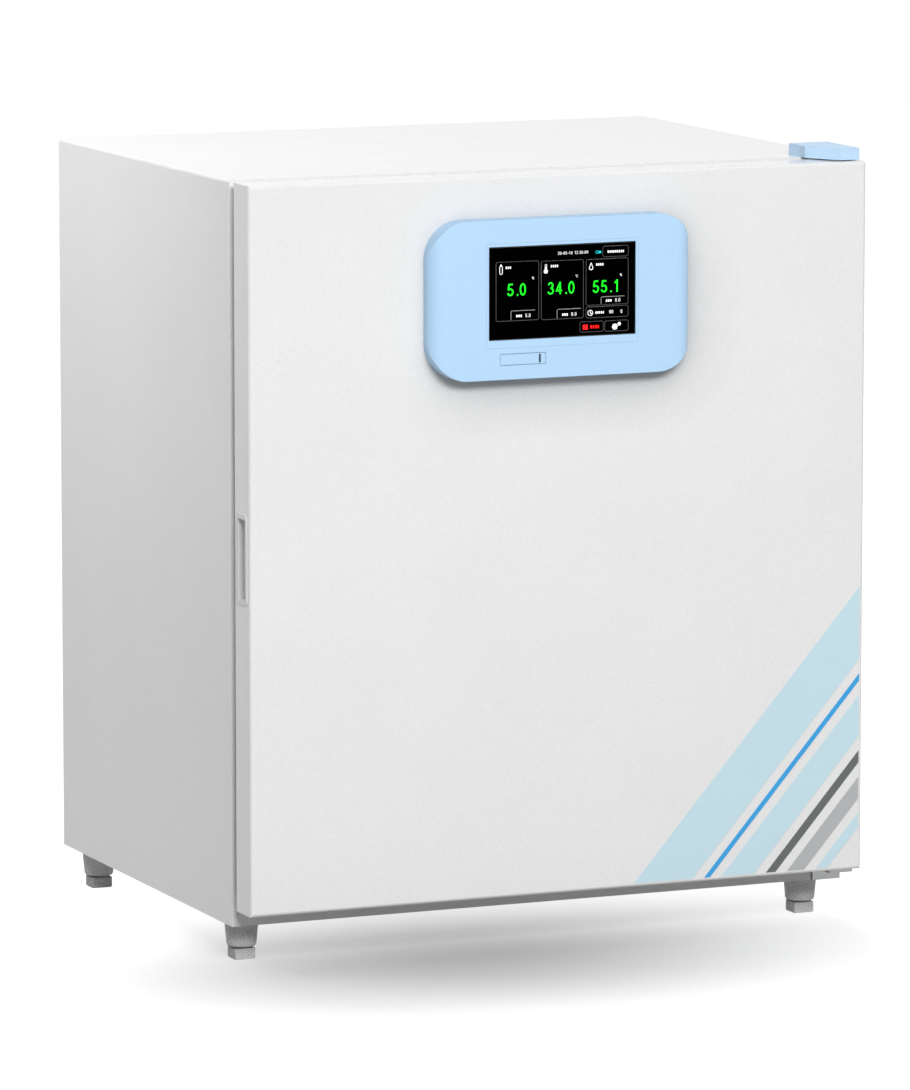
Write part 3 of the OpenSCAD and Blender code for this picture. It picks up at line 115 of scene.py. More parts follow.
class Nodes:
    """Small helper that adds shader nodes to one material and links them."""

    def __init__(self, name):
        self.material = bpy.data.materials.new(name)
        self.material.use_nodes = True
        self.tree = self.material.node_tree
        self.tree.nodes.clear()
        self.out = self.add("ShaderNodeOutputMaterial")
        self.shader = self.add("ShaderNodeBsdfPrincipled")
        self.join(self.shader, "BSDF", self.out, "Surface")
        self.coords = self.add("ShaderNodeTexCoord")

    def add(self, kind, **values):
        node = self.tree.nodes.new(kind)
        for key, value in values.items():
            setattr(node, key, value)
        return node

    def join(self, source, output, target, entry):
        self.tree.links.new(source.outputs[output], target.inputs[entry])

    def set(self, node, **values):
        for key, value in values.items():
            node.inputs[key.replace("_", " ")].default_value = value

    def noise(self, scale, detail=3.0, stretch=(1, 1, 1)):
        """Noise in metres of the frame, finer as scale grows."""
        mapping = self.add("ShaderNodeMapping")
        mapping.inputs["Scale"].default_value = stretch
        self.join(self.coords, "Object", mapping, "Vector")
        node = self.add("ShaderNodeTexNoise")
        self.set(node, Scale=scale, Detail=detail, Roughness=0.55)
        self.join(mapping, "Vector", node, "Vector")
        return node

    def spread(self, source, output, low, high, entry_low=0.3, entry_high=0.7):
        """Maps a value's middle range onto low to high."""
        node = self.add("ShaderNodeMapRange")
        self.set(node, From_Min=entry_low, From_Max=entry_high, To_Min=low, To_Max=high)
        self.join(source, output, node, "Value")
        return node

    def tint(self, source, output, first, second):
        """Mixes two colours by a value."""
        node = self.add("ShaderNodeMix", data_type="RGBA")
        node.inputs[MIX_FIRST].default_value = (*first, 1)
        node.inputs[MIX_SECOND].default_value = (*second, 1)
        self.join(source, output, node, MIX_FACTOR)
        return node

    def drift(self, noise, first, second):
        """Mixes two colours by a noise."""
        return self.tint(self.spread(noise, "Fac", 0, 1), "Result", first, second)

    def times(self, first, second):
        """Multiplies one colour mix by another."""
        node = self.add("ShaderNodeMix", data_type="RGBA", blend_type="MULTIPLY")
        node.inputs[MIX_FACTOR].default_value = 1.0
        self.join(first, MIX_RESULT, node, MIX_FIRST)
        self.join(second, MIX_RESULT, node, MIX_SECOND)
        return node

    def base(self, mix):
        """Takes a colour mix as the shader's base colour."""
        self.join(mix, MIX_RESULT, self.shader, "Base Color")

    def gloss(self, noise, low, high):
        """Lets a noise move the roughness from low to high."""
        self.join(self.spread(noise, "Fac", low, high), "Result", self.shader, "Roughness")

    def bumps(self, source, output, strength, distance, edge=0.0):
        """One bump layer over an edge that is rounded by edge, in metres."""
        bump = self.add("ShaderNodeBump")
        self.set(bump, Strength=strength, Distance=distance)
        self.join(source, output, bump, "Height")
        if edge:
            rounded = self.add("ShaderNodeBevel", samples=6)
            self.set(rounded, Radius=edge)
            self.join(rounded, "Normal", bump, "Normal")
        self.join(bump, "Normal", self.shader, "Normal")


def shade(color, factor):
    return tuple(min(1.0, c * factor) for c in color)


def painted_shade_near(n, paint):
    """Dims a colour mix with painted shade on front faces where other pieces stand close, with a
    soft edge.
    """
    lean = n.add(
        "ShaderNodeVectorTransform",
        vector_type="VECTOR",
        convert_from="OBJECT",
        convert_to="WORLD",
    )
    n.set(lean, Vector=PAINTED_SHADE_LEAN)
    # Occlusion seen along a leaning normal becomes painted shade that falls to the lower right
    corner = n.add("ShaderNodeAmbientOcclusion", samples=12)
    n.set(corner, Distance=PAINTED_SHADE_REACH)
    n.join(lean, "Vector", corner, "Normal")
    dim = n.tint(n.spread(corner, "AO", 0, 1, *PAINTED_SHADE_SHARES), "Result", PAINTED_SHADE_TONE, FULL)
    facing = n.add("ShaderNodeSeparateXYZ")
    n.join(n.coords, "Normal", facing, "Vector")
    both = n.times(paint, dim)
    n.join(n.spread(facing, "Y", 1, 0, *FRONT_FACING), "Result", both, MIX_FACTOR)
    return both


def painted(name, color, roughness=0.2, grain=0.08, with_painted_shade=False):
    """Powder coat: faint mottle, fine orange peel and a soft clear gloss, and on request painted
    shade near other pieces.
    """
    n = Nodes(name)
    mottle = n.noise(9.0, 4.0)
    speck = n.noise(1250.0, 1.0)
    clouds = n.drift(mottle, shade(color, 0.985), shade(color, 1.012))
    paint = n.times(clouds, n.drift(speck, shade(FULL, 0.9), FULL))
    # On request, painted shade darkens the front round pieces that stand close
    n.base(painted_shade_near(n, paint) if with_painted_shade else paint)
    n.gloss(mottle, roughness - 0.01, roughness + 0.02)
    n.bumps(speck, "Fac", grain, 0.06 * MM)
    n.set(n.shader, Coat_Weight=0.15, Coat_Roughness=0.22)
    return n.material


def moulded(
    name, color, roughness=0.45, grain=0.15, edge=0.6 * MM, speckle=0.94, grit_scale=1900.0
):
    """Moulded plastic with a fine spark-eroded grain."""
    n = Nodes(name)
    grit = n.noise(grit_scale, 1.0)
    cloud = n.noise(26.0, 3.0)
    n.base(n.drift(grit, shade(color, speckle), shade(color, 1.02)))
    n.gloss(cloud, roughness - 0.04, roughness + 0.06)
    n.bumps(grit, "Fac", grain, 0.12 * MM, edge)
    return n.material


def film(name, color):
    """Thin printed film."""
    return moulded(name, color, roughness=0.36, grain=0.12, edge=0.0, speckle=0.97)


# Stretch of brushed metal's streaks along x, along z and in flat sheets of x and z, and none
ALONG_X, ALONG_Z, ALONG_XZ, NO_GRAIN = (1, 60, 60), (60, 60, 1), (1, 60, 1), (1, 1, 1)


def brushed(name, color=STEEL, roughness=0.28, stretch=ALONG_X, edge=0.5 * MM, scale=30.0):
    """Brushed metal: long fine streaks that change the gloss, and light smudges."""
    n = Nodes(name)
    streaks = n.noise(scale, 6.0, stretch)
    smudge = n.noise(11.0, 4.0)
    n.base(n.drift(streaks, shade(color, 0.9), shade(color, 1.06)))
    mix = n.add("ShaderNodeMath", operation="ADD")
    n.join(n.spread(streaks, "Fac", roughness - 0.06, roughness + 0.08), "Result", mix, 0)
    n.join(n.spread(smudge, "Fac", -0.03, 0.05), "Result", mix, 1)
    n.join(mix, "Value", n.shader, "Roughness")
    n.bumps(streaks, "Fac", 0.06, 0.1 * MM, edge)
    n.set(n.shader, Metallic=1.0)
    return n.material


def rubbery(name, color, roughness, wear=0.8):
    """Rubber or silicone with a dusty surface."""
    n = Nodes(name)
    dust = n.noise(140.0, 5.0)
    fine = n.noise(2200.0, 1.0)
    n.base(n.drift(dust, shade(color, wear), shade(color, 1.12)))
    n.gloss(dust, roughness - 0.08, roughness + 0.1)
    n.bumps(fine, "Fac", 0.2, 0.1 * MM, 0.8 * MM)
    return n.material


def glassy(name, color):
    """Clear toughened glass, lightly smudged."""
    n = Nodes(name)
    smudge = n.noise(16.0, 5.0)
    n.base(n.drift(smudge, color, shade(color, 0.985)))
    n.gloss(smudge, 0.005, 0.03)
    n.set(n.shader, Transmission_Weight=1.0, IOR=1.5)
    return n.material


def foamed(name, color):
    """Closed-cell foam: skin with small cells."""
    n = Nodes(name)
    cells = n.add("ShaderNodeTexVoronoi")
    n.set(cells, Scale=620.0)
    n.join(n.coords, "Object", cells, "Vector")
    cloud = n.noise(35.0, 4.0)
    n.base(n.drift(cloud, shade(color, 0.9), shade(color, 1.05)))
    n.set(n.shader, Roughness=0.85)
    n.bumps(cells, "Distance", 0.5, 0.6 * MM)
    return n.material


def glowing(name, color, strength=1.0):
    """A lit mark on the screen, a little uneven like real pixels."""
    n = Nodes(name)
    pixels = n.noise(2600.0, 0.0)
    mix = n.drift(pixels, shade(color, 0.9), color)
    n.base(mix)
    n.join(mix, MIX_RESULT, n.shader, "Emission Color")
    n.set(n.shader, Emission_Strength=strength, Roughness=0.3)
    return n.material


def screen_glass(name):
    """Black cover glass without reflections, faintly smudged."""
    n = Nodes(name)
    smudge = n.noise(60.0, 5.0)
    n.base(n.drift(smudge, (0.0003, 0.0003, 0.0003), (0.0005, 0.0005, 0.0006)))
    n.gloss(smudge, 0.1, 0.2)
    n.set(n.shader, IOR=1.3, Specular_IOR_Level=0.0)
    return n.material


def leg_plastic(name, color, roughness, grain):
    """Coarser plastic of the legs and their pads."""
    return moulded(name, color, roughness, grain, edge=0.8 * MM, speckle=0.55, grit_scale=1050.0)


# Materials by the slots of the record
MATERIALS = {
    "white_paint": painted("white_paint", PAINT_WHITE),
    "galvanised": brushed("galvanised", (0.5, 0.51, 0.52), 0.42, NO_GRAIN, scale=90.0),
    "stainless": brushed("stainless"),
    "foam": foamed("foam", (0.78, 0.7, 0.48)),
    "filter_white": moulded("filter_white", (0.8, 0.8, 0.77), 0.7, grain=0.35),
    "motor_grey": painted("motor_grey", (0.12, 0.125, 0.13), 0.4),
    "fan_black": moulded("fan_black", (0.02, 0.02, 0.022), 0.42),
    "sensor_white": moulded("sensor_white", (0.72, 0.72, 0.7), 0.4),
    "silicone": rubbery("silicone", (0.62, 0.64, 0.64), 0.42, wear=0.94),
    "clear_glass": glassy("clear_glass", (0.93, 0.985, 0.965)),
    "hinge_steel": brushed("hinge_steel", (0.34, 0.345, 0.35), 0.36, ALONG_Z),
    "door_panel": painted("door_panel", (0.76, 0.765, 0.77), 0.38, grain=0.05),
    "gasket_grey": rubbery("gasket_grey", (0.14, 0.145, 0.15), 0.55),
    "cup_white": moulded("cup_white", (0.82, 0.82, 0.83), 0.5),
    "nylon": moulded("nylon", (0.8, 0.78, 0.7), 0.4),
    "pale_blue": moulded("pale_blue", BLUE, 0.42, grain=0.2, edge=1.2 * MM, speckle=0.95),
    "screen_black": screen_glass("screen_black"),
    "board_green": moulded("board_green", (0.015, 0.12, 0.05), 0.35),
    "plated_steel": brushed("plated_steel", (0.72, 0.73, 0.74), 0.2, NO_GRAIN),
    "leg_grey": leg_plastic("leg_grey", LEG_GREY, 0.6, grain=0.6),
    "foot_grey": leg_plastic("foot_grey", (0.66, 0.66, 0.665), 0.7, grain=0.5),
    "aluminium": brushed("aluminium", (0.78, 0.79, 0.8), 0.3, ALONG_XZ),
    "ceramic_white": moulded("ceramic_white", (0.8, 0.8, 0.78), 0.5),
    "black_plastic": moulded("black_plastic", (0.012, 0.012, 0.014), 0.4),
    "brass": brushed("brass", (0.72, 0.5, 0.2), 0.25, NO_GRAIN),
}
# Materials of the scene's own pieces, and of two nodes that differ from the rest of their slot
EXTRA = {
    # The door's paint carries painted shade round the display housing
    "door_paint_painted_shade": painted("door_paint_painted_shade", PAINT_WHITE, with_painted_shade=True),
    "cover_blue": moulded("cover_blue", COVER_BLUE, 0.45, grain=0.2, speckle=0.96),
    "stripe_film": film("stripe_film", STRIPE_BLUE),
    "line_film": film("line_film", LINE_BLUE),
    "bar_film": film("bar_film", BAR_GREY),
    "pale_film": film("pale_film", PALE_GREY),
    # A darker copy of the housing's blue: painted shade of the groove round the screen
    "groove_painted_shade": moulded("groove_painted_shade", shade(BLUE, 0.7), 0.5, edge=0.0),
    "screw_steel": brushed("screw_steel", (0.66, 0.67, 0.68), 0.25, NO_GRAIN, edge=0.2 * MM),
    "green_glow": glowing("green_glow", (0.0, 0.95, 0.01)),
    "white_glow": glowing("white_glow", (0.85, 0.85, 0.85), 0.85),
    "grey_glow": glowing("grey_glow", (0.3, 0.3, 0.3), 0.7),
    "dim_glow": glowing("dim_glow", (0.05, 0.05, 0.05), 0.7),
    "red_glow": glowing("red_glow", (1.0, 0.0, 0.0)),
    "teal_glow": glowing("teal_glow", (0.0, 0.42, 0.45)),
}
OWN_LOOKS = {"hinge_cover": EXTRA["cover_blue"], "door_skin": EXTRA["door_paint_painted_shade"]}


def dress_frame():
    """Gives each CAD node the material of its slot, or its own."""
    for row in frame["record"]["subparts"]:
        node = frame["nodes"][row["node"]]
        material = OWN_LOOKS.get(row["node"], MATERIALS[row["material_slot"]])
        node.data.materials.clear()
        node.data.materials.append(material)


# Mesh pieces


def finish_piece(name, bm, material, body):
    """Turns a bmesh into a piece that rides on a body."""
    bmesh.ops.recalc_face_normals(bm, faces=bm.faces)
    mesh = bpy.data.meshes.new(name)
    bm.to_mesh(mesh)
    bm.free()
    mesh.materials.append(material)
    piece = bpy.data.objects.new(name, mesh)
    bpy.context.scene.collection.objects.link(piece)
    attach(piece, body)


def extrude_outlines(bm, loops, depth, place):
    """Adds flat outlines that are depth thick; place maps (u, v, d) to a point."""
    for points in loops:
        front = [bm.verts.new(place(u, v, 0.0)) for u, v in points]
        back = [bm.verts.new(place(u, v, depth)) for u, v in points]
        bm.faces.new(front)
        bm.faces.new(back[::-1])
        for i in range(len(points)):
            j = (i + 1) % len(points)
            bm.faces.new((front[j], front[i], back[i], back[j]))


def extrude_rings(bm, rings, depth, place):
    """Adds flat rings, each an outer and an inner loop with as many points."""
    for outer, inner in rings:
        rows = []
        for points, d in ((outer, 0.0), (inner, 0.0), (inner, depth), (outer, depth)):
            rows.append([bm.verts.new(place(u, v, d)) for u, v in points])
        for i in range(len(outer)):
            j = (i + 1) % len(outer)
            for a, b in zip(rows, rows[1:] + rows[:1]):
                bm.faces.new((a[i], a[j], b[j], b[i]))


def bow(cx, cy, rx, ry, start, stop, steps):
    """Points on an arc of an ellipse, angles in degrees."""
    turn = [math.radians(start + (stop - start) * i / steps) for i in range(steps + 1)]
    return [(cx + rx * math.cos(a), cy + ry * math.sin(a)) for a in turn]


def arc(cx, cy, r, start, stop, steps):
    """Points on an arc of a circle, angles in degrees."""
    return bow(cx, cy, r, r, start, stop, steps)


def disc(cx, cy, r, steps=28):
    """Points round a circle."""
    return arc(cx, cy, r, 0, 360 - 360 / steps, steps - 1)


def box_loop(left, low, right, high):
    """Upright rectangle as a loop of points."""
    return [(left, low), (right, low), (right, high), (left, high)]


def round_box(cx, cy, w, h, r, steps=6):
    """Rounded rectangle as a loop of points."""
    points = []
    for sx, sy, a in ((1, 1, 0), (-1, 1, 90), (-1, -1, 180), (1, -1, 270)):
        points += arc(cx + sx * (w / 2 - r), cy + sy * (h / 2 - r), r, a, a + 90, steps)
    return points


def outline_ring(cx, cy, w, h, r, line):
    """Outer and inner loops of a thin rounded outline."""
    inner_r = max(r - line, 0.05 * MM)
    inner = round_box(cx, cy, w - 2 * line, h - 2 * line, inner_r)
    return round_box(cx, cy, w, h, r), inner


def scaled_loop(points, cx, cy, factor):
    return [(cx + (x - cx) * factor, cy + (y - cy) * factor) for x, y in points]


# Screen graphics, in millimetres from the lower left corner of the screen's glass

GRAPHIC_T = 0.06 * MM
SCREEN_W, SCREEN_H = 147.0, 86.0
SCREEN_U0 = SCREEN_MIDDLE.x - 0.5 * SCREEN_W * MM
SCREEN_V0 = SCREEN_MIDDLE.z - 0.5 * SCREEN_H * MM


def on_screen(u, v, d):
    """A point on the screen's face; u and v in millimetres, d in metres towards the back."""
    return Vector((SCREEN_U0 + u * MM, SCREEN_LOW.y - GRAPHIC_T + d, SCREEN_V0 + v * MM))


def screen_piece(name, glow, loops=(), rings=()):
    bm = bmesh.new()
    extrude_outlines(bm, loops, GRAPHIC_T, on_screen)
    extrude_rings(bm, rings, GRAPHIC_T, on_screen)
    finish_piece(name, bm, EXTRA[glow], "outer_door")


# Plain figures made of strokes, in a box about 0.6 wide and 1 high

HALF_STROKE = 0.055
MITRE_LIMIT = 0.25


def ring_of(cx, cy, rx, ry):
    """Closed stroke round an ellipse."""
    return ("closed", bow(cx, cy, rx, ry, 0, 348, 29))


def line_of(*points):
    return ("open", list(points))


FIGURES = {
    "0": [ring_of(0.3, 0.5, 0.225, 0.4375)],
    "1": [
        line_of((0.37, 0.0), (0.37, 1.0)),
        line_of((0.14, 0.75), (0.25, 0.81), (0.35, 0.93)),
    ],
    "2": [
        line_of(*bow(0.29, 0.7, 0.215, 0.2375, 172, -35, 14), (0.09, 0.07)),
        line_of((0.05, 0.0625), (0.53, 0.0625)),
    ],
    "3": [
        line_of(*bow(0.28, 0.725, 0.2, 0.2125, 165, -88, 14)),
        line_of(*bow(0.28, 0.29, 0.235, 0.2275, 92, -165, 16)),
    ],
    "4": [
        line_of((0.41, 0.0), (0.41, 0.99)),
        line_of((0.40, 0.95), (0.07, 0.29), (0.57, 0.29)),
    ],
    "5": [
        line_of((0.51, 0.9375), (0.17, 0.9375), (0.1, 0.5)),
        line_of(*bow(0.285, 0.315, 0.24, 0.2525, 138, -162, 18)),
    ],
    ".": [line_of((0.2, 0.0), (0.2, 0.13))],
    "-": [line_of((0.1, 0.4), (0.45, 0.4))],
    ":": [line_of((0.2, 0.12), (0.2, 0.26)), line_of((0.2, 0.6), (0.2, 0.74))],
    "%": [
        ring_of(0.16, 0.76, 0.12, 0.18),
        ring_of(0.66, 0.24, 0.12, 0.18),
        line_of((0.22, 0.0), (0.6, 1.0)),
    ],
    "o": [ring_of(0.15, 0.84, 0.1, 0.11)],
    "C": [line_of(*bow(0.36, 0.5, 0.28, 0.4375, 48, 312, 20))],
    " ": [],
}
# How far the pen moves after a sign
WIDE_STEP = 0.77
NARROW_STEPS = {".": 0.4, ":": 0.4, "-": 0.55, " ": 0.5, "%": 0.9, "o": 0.34, "C": 0.75}


def offset_path(points, shift, closed):
    """Points moved sideways by shift, with mitred corners."""
    count = len(points)
    moved = []
    for i, (x, y) in enumerate(points):
        before = points[i - 1] if closed or i else points[i]
        after = points[(i + 1) % count] if closed or i < count - 1 else points[i]
        directions = []
        for (ax, ay), (bx, by) in ((before, (x, y)), ((x, y), after)):
            length = math.hypot(bx - ax, by - ay)
            if length > 1e-9:
                directions.append(((bx - ax) / length, (by - ay) / length))
        nx = sum(-d[1] for d in directions) / len(directions)
        ny = sum(d[0] for d in directions) / len(directions)
        size = max(nx * nx + ny * ny, MITRE_LIMIT)
        moved.append((x + shift * nx / size, y + shift * ny / size))
    return moved


def digits(name, text, u, v, height, glow, squeeze=0.93):
    """Plain numbers on the screen, their left end at u and foot at v, in millimetres."""
    half = HALF_STROKE * height
    bm = bmesh.new()
    pen = u
    for sign in text:
        for kind, points in FIGURES[sign]:
            closed = kind == "closed"
            placed = [(pen + x * height * squeeze, v + y * height) for x, y in points]
            one = offset_path(placed, half, closed)
            two = offset_path(placed, -half, closed)
            if closed:
                extrude_rings(bm, [(one, two)], GRAPHIC_T, on_screen)
                continue
            for i in range(len(one) - 1):
                stroke = [one[i], one[i + 1], two[i + 1], two[i]]
                extrude_outlines(bm, [stroke], GRAPHIC_T, on_screen)
        pen += NARROW_STEPS.get(sign, WIDE_STEP) * height * squeeze
    finish_piece(name, bm, EXTRA[glow], "outer_door")


# Each tile: its left, low, right and high edges on the screen
TILES = (
    ("tile_left", (7.1, 17.4, 50.0, 72.1)),
    ("tile_middle", (52.2, 17.0, 94.8, 71.3)),
    ("tile_right", (97.1, 28.2, 139.9, 71.0)),
    ("tile_timer", (97.1, 16.5, 139.9, 27.1)),
    ("tile_stop", (91.0, 3.6, 114.9, 13.6)),
    ("tile_gear", (116.0, 3.3, 140.1, 13.5)),
    ("tile_state", (113.9, 72.4, 139.9, 82.6)),
)
TILE_LINE = 0.4
TILE_CORNER = 2.0

# Heights of the numbers on the screen
READING_H, SET_H, CLOCK_H, UNIT_H = 11.4, 3.2, 2.7, 2.4

# Each number: its name, its signs, its left end and foot on the screen, and its height
GREEN_NUMBERS = (
    ("reading_left", "5.0", 18.4, 40.4, READING_H),
    ("reading_middle", "34.0", 58.8, 40.1, READING_H),
    ("reading_right", "55.1", 104.0, 39.7, READING_H),
)
WHITE_NUMBERS = (
    ("unit_left", "%", 43.2, 55.0, UNIT_H),
    ("unit_middle", "oC", 86.8, 54.8, UNIT_H),
    ("unit_right", "%", 131.4, 54.2, UNIT_H),
    ("set_left", "5.0", 36.5, 20.4, SET_H),
    ("set_middle", "0.0", 82.5, 19.6, SET_H),
    ("set_right", "0.0", 126.5, 30.6, SET_H),
    ("timer_value", "00", 120.6, 20.0, SET_H),
    ("timer_unit", "0", 132.0, 20.0, SET_H),
)

# Rows of small bars in the place of words: left end, foot and length of each
BAR_ROWS = (
    (27.0, 20.6, 6.4),
    (73.0, 19.8, 6.4),
    (117.0, 30.8, 6.4),
    (106.5, 20.2, 9.0),
    (16.5, 65.4, 6.0),
    (61.5, 65.0, 8.0),
    (107.0, 64.6, 8.0),
    (118.6, 76.0, 17.0),
)
BAR_STEP = 1.9
BAR_SHARE = 0.62
BAR_H = 2.2

# Open corners that frame the set values: left, high, width and height of each
SET_TABS = ((22.0, 26.9, 24.2, 8.7), (68.1, 26.3, 24.0, 8.6), (112.2, 35.9, 23.7, 6.6))
TAB_CORNER = 1.5


def gear(cx, cy, r, teeth=8, root=0.78):
    """Outline of a small gear wheel."""
    points = []
    for i in range(teeth):
        a = 360 / teeth * i
        points += arc(cx, cy, r, a - 11, a + 11, 2)
        points += arc(cx, cy, r * root, a + 16, a + 29, 2)
    return points


def drop(cx, cy, r):
    """Outline of a water drop."""
    tip = [(cx + 0.25 * r, cy + 1.9 * r), (cx, cy + 2.4 * r), (cx - 0.25 * r, cy + 1.9 * r)]
    return arc(cx, cy, r, -215, 35, 16) + tip


def screen_tiles():
    """Thin rounded outlines of the tiles, brighter along their tops and left sides."""
    line, r = TILE_LINE, TILE_CORNER
    for name, (left, low, right, high) in TILES:
        cx, cy, w, h = (left + right) / 2, (low + high) / 2, right - left, high - low
        screen_piece(name, "dim_glow", rings=[outline_ring(cx, cy, w, h, r, line)])
        corner = (left + r, high - r)
        down = min(h * 0.7, 20.0)
        end = right - w * 0.3
        outer = [(left, high - down)] + arc(*corner, r, 180, 90, 6) + [(end, high)]
        inner = [(end, high - line)] + arc(*corner, r - line, 90, 180, 6)
        inner += [(left + line, high - down)]
        screen_piece(name + "_light", "grey_glow", loops=[outer + inner])
    edges = [box_loop(1.0, 85.1, 146.0, 85.3), box_loop(1.0, 0.5, 146.0, 0.7)]
    screen_piece("screen_edges", "dim_glow", edges)


def screen_figures():
    """The three readings, their units, the small set values and the clock."""
    for row in GREEN_NUMBERS:
        digits(*row, "green_glow")
    for row in WHITE_NUMBERS:
        digits(*row, "white_glow")
    digits("clock_value", "30-05-10 12:30:00", 69.0, 76.4, CLOCK_H, "white_glow", 0.98)


def screen_marks():
    """Small plain signs: cylinder, thermometer, drop, clock, stop square, gears and bars."""
    line = 0.5
    cylinder = outline_ring(12.2, 64.6, 3.2, 8.0, 1.4, line)
    cap = box_loop(11.5, 68.6, 12.9, 69.7)
    bulb, stem = disc(57.0, 61.4, 1.1, 16), box_loop(56.6, 62.0, 57.4, 66.0)
    bulb_ring = (disc(57.0, 61.6, 2.0), disc(57.0, 61.6, 2.0 - line))
    stem_ring = outline_ring(57.0, 65.6, 2.0, 5.4, 0.95, line * 0.8)
    water = drop(102.3, 63.0, 2.1)
    water_ring = (water, scaled_loop(water, 102.3, 63.6, 0.72))
    dial_ring = (disc(101.6, 21.4, 2.7), disc(101.6, 21.4, 2.7 - line))
    long_hand = box_loop(101.4, 21.2, 101.9, 23.2)
    short_hand = [(101.4, 21.2), (103.1, 19.8), (103.4, 20.2), (101.9, 21.7)]
    gears = [gear(126.3, 7.6, 2.9), gear(130.7, 10.0, 1.8)]
    loops = [cap, bulb, stem, *gears, long_hand, short_hand]
    rings = [cylinder, bulb_ring, stem_ring, water_ring, dial_ring]
    screen_piece("screen_signs", "white_glow", loops, rings)

    bars = []
    for u, v, length in BAR_ROWS:
        count = max(2, round(length / BAR_STEP))
        step = length / count
        for i in range(count):
            bars.append(round_box(u + (i + 0.5) * step, v + 1.2, step * BAR_SHARE, BAR_H, 0.3, 2))
    screen_piece("screen_bars", "white_glow", bars)
    screen_piece("stop_square", "red_glow", [round_box(96.6, 8.4, 4.8, 4.5, 0.2, 2)])
    dashes = [round_box(102.4 + 2.4 * i, 8.4, 1.4, 3.0, 0.3, 2) for i in range(4)]
    screen_piece("stop_dashes", "red_glow", dashes)
    link = [outline_ring(108.4, 77.2, 3.0, 2.8, 1.3, line)]
    screen_piece("link_sign", "teal_glow", [round_box(111.2, 77.2, 2.6, 2.2, 1.0, 4)], link)


def screen_tabs():
    """Open corners that frame the set values."""
    line, r = TILE_LINE, TAB_CORNER
    for i, (u, v, w, h) in enumerate(SET_TABS):
        outer = [(u, v - h)] + arc(u + r, v - r, r, 180, 90, 5) + [(u + w, v)]
        inner = [(u + w, v - line)] + arc(u + r, v - r, r - line, 90, 180, 5)
        inner += [(u + line, v - h)]
        screen_piece(f"set_tab_{i}", "grey_glow", [outer + inner])


# Stripes on the door, a generic pattern in pale blue

FILM_T = 0.12 * MM
STRIPE_INSET = 3.5 * MM
STRIPE_RISE = 1.15

# Each band, in millimetres: its foot's distance from the right end, its width, and its film
BANDS = (
    (-232.0, 60.0, "stripe_film"),
    (-160.0, 6.0, "line_film"),
    (-142.0, 34.0, "stripe_film"),
    (-96.0, 10.0, "bar_film"),
    (-74.0, 18.0, "pale_film"),
    (-44.0, 12.0, "stripe_film"),
)


def on_door(u, v, d):
    """A point on the door's front face, u, v and d in metres."""
    return Vector((u, DOOR_LOW.y - FILM_T + d, v))


def door_stripes():
    """Slanted bands of several widths that rise to the door's right edge."""
    right = DOOR_HIGH.x - STRIPE_INSET
    low = DOOR_LOW.z + STRIPE_INSET
    for i, (start, width, band_film) in enumerate(BANDS):
        x0, x1 = right + start * MM, right + (start + width) * MM
        z0, z1 = low + (right - x0) * STRIPE_RISE, low + (right - x1) * STRIPE_RISE
        bm = bmesh.new()
        band = [(x0, low), (x1, low), (right, z1), (right, z0)]
        extrude_outlines(bm, [band], FILM_T, on_door)
        finish_piece(f"door_stripe_{i}", bm, EXTRA[band_film], "outer_door")


# Groove round the screen, drawn as a line of painted shade

GROOVE_W, GROOVE_H = 152.5 * MM, 96.5 * MM
GROOVE_DROP = 2.0 * MM
GROOVE_CORNER = 2.0 * MM
GROOVE_LINE = 0.35 * MM
GROOVE_T = 0.06 * MM


def on_bezel(u, v, d):
    """A point on the display housing's front, half of the groove's thickness before it."""
    return Vector((u, BEZEL_FRONT - 0.5 * GROOVE_T + d, v))


def bezel_groove():
    """A fine darker line of painted shade that stands for a groove round the screen, a little
    lower than its middle.
    """
    x, z = SCREEN_MIDDLE.x, SCREEN_MIDDLE.z - GROOVE_DROP
    bm = bmesh.new()
    ring = outline_ring(x, z, GROOVE_W, GROOVE_H, GROOVE_CORNER, GROOVE_LINE)
    extrude_rings(bm, [ring], GROOVE_T, on_bezel)
    finish_piece("screen_groove", bm, EXTRA["groove_painted_shade"], "outer_door")


# Screws

# Dome of a screw's head: shares of its radius and height, from the foot up
HEAD_ROWS = ((1.0, 0.0), (1.0, 0.35), (0.86, 0.72), (0.58, 0.95))
HEAD_TOP = 0.95
HEAD_STEPS = 24
# Cross recess: half length and half width as shares of the radius, floor as a share of the height
CROSS_ARM, CROSS_SLIM, CROSS_FLOOR = 0.46, 0.15, 0.35
CROSS_POINTS = 12

LEFT_RIGHT = (-1, 1)
FOUR_CORNERS = ((-1, -1), (1, -1), (-1, 1), (1, 1))
BACKWARD, FORWARD = (0, 1, 0), (0, -1, 0)


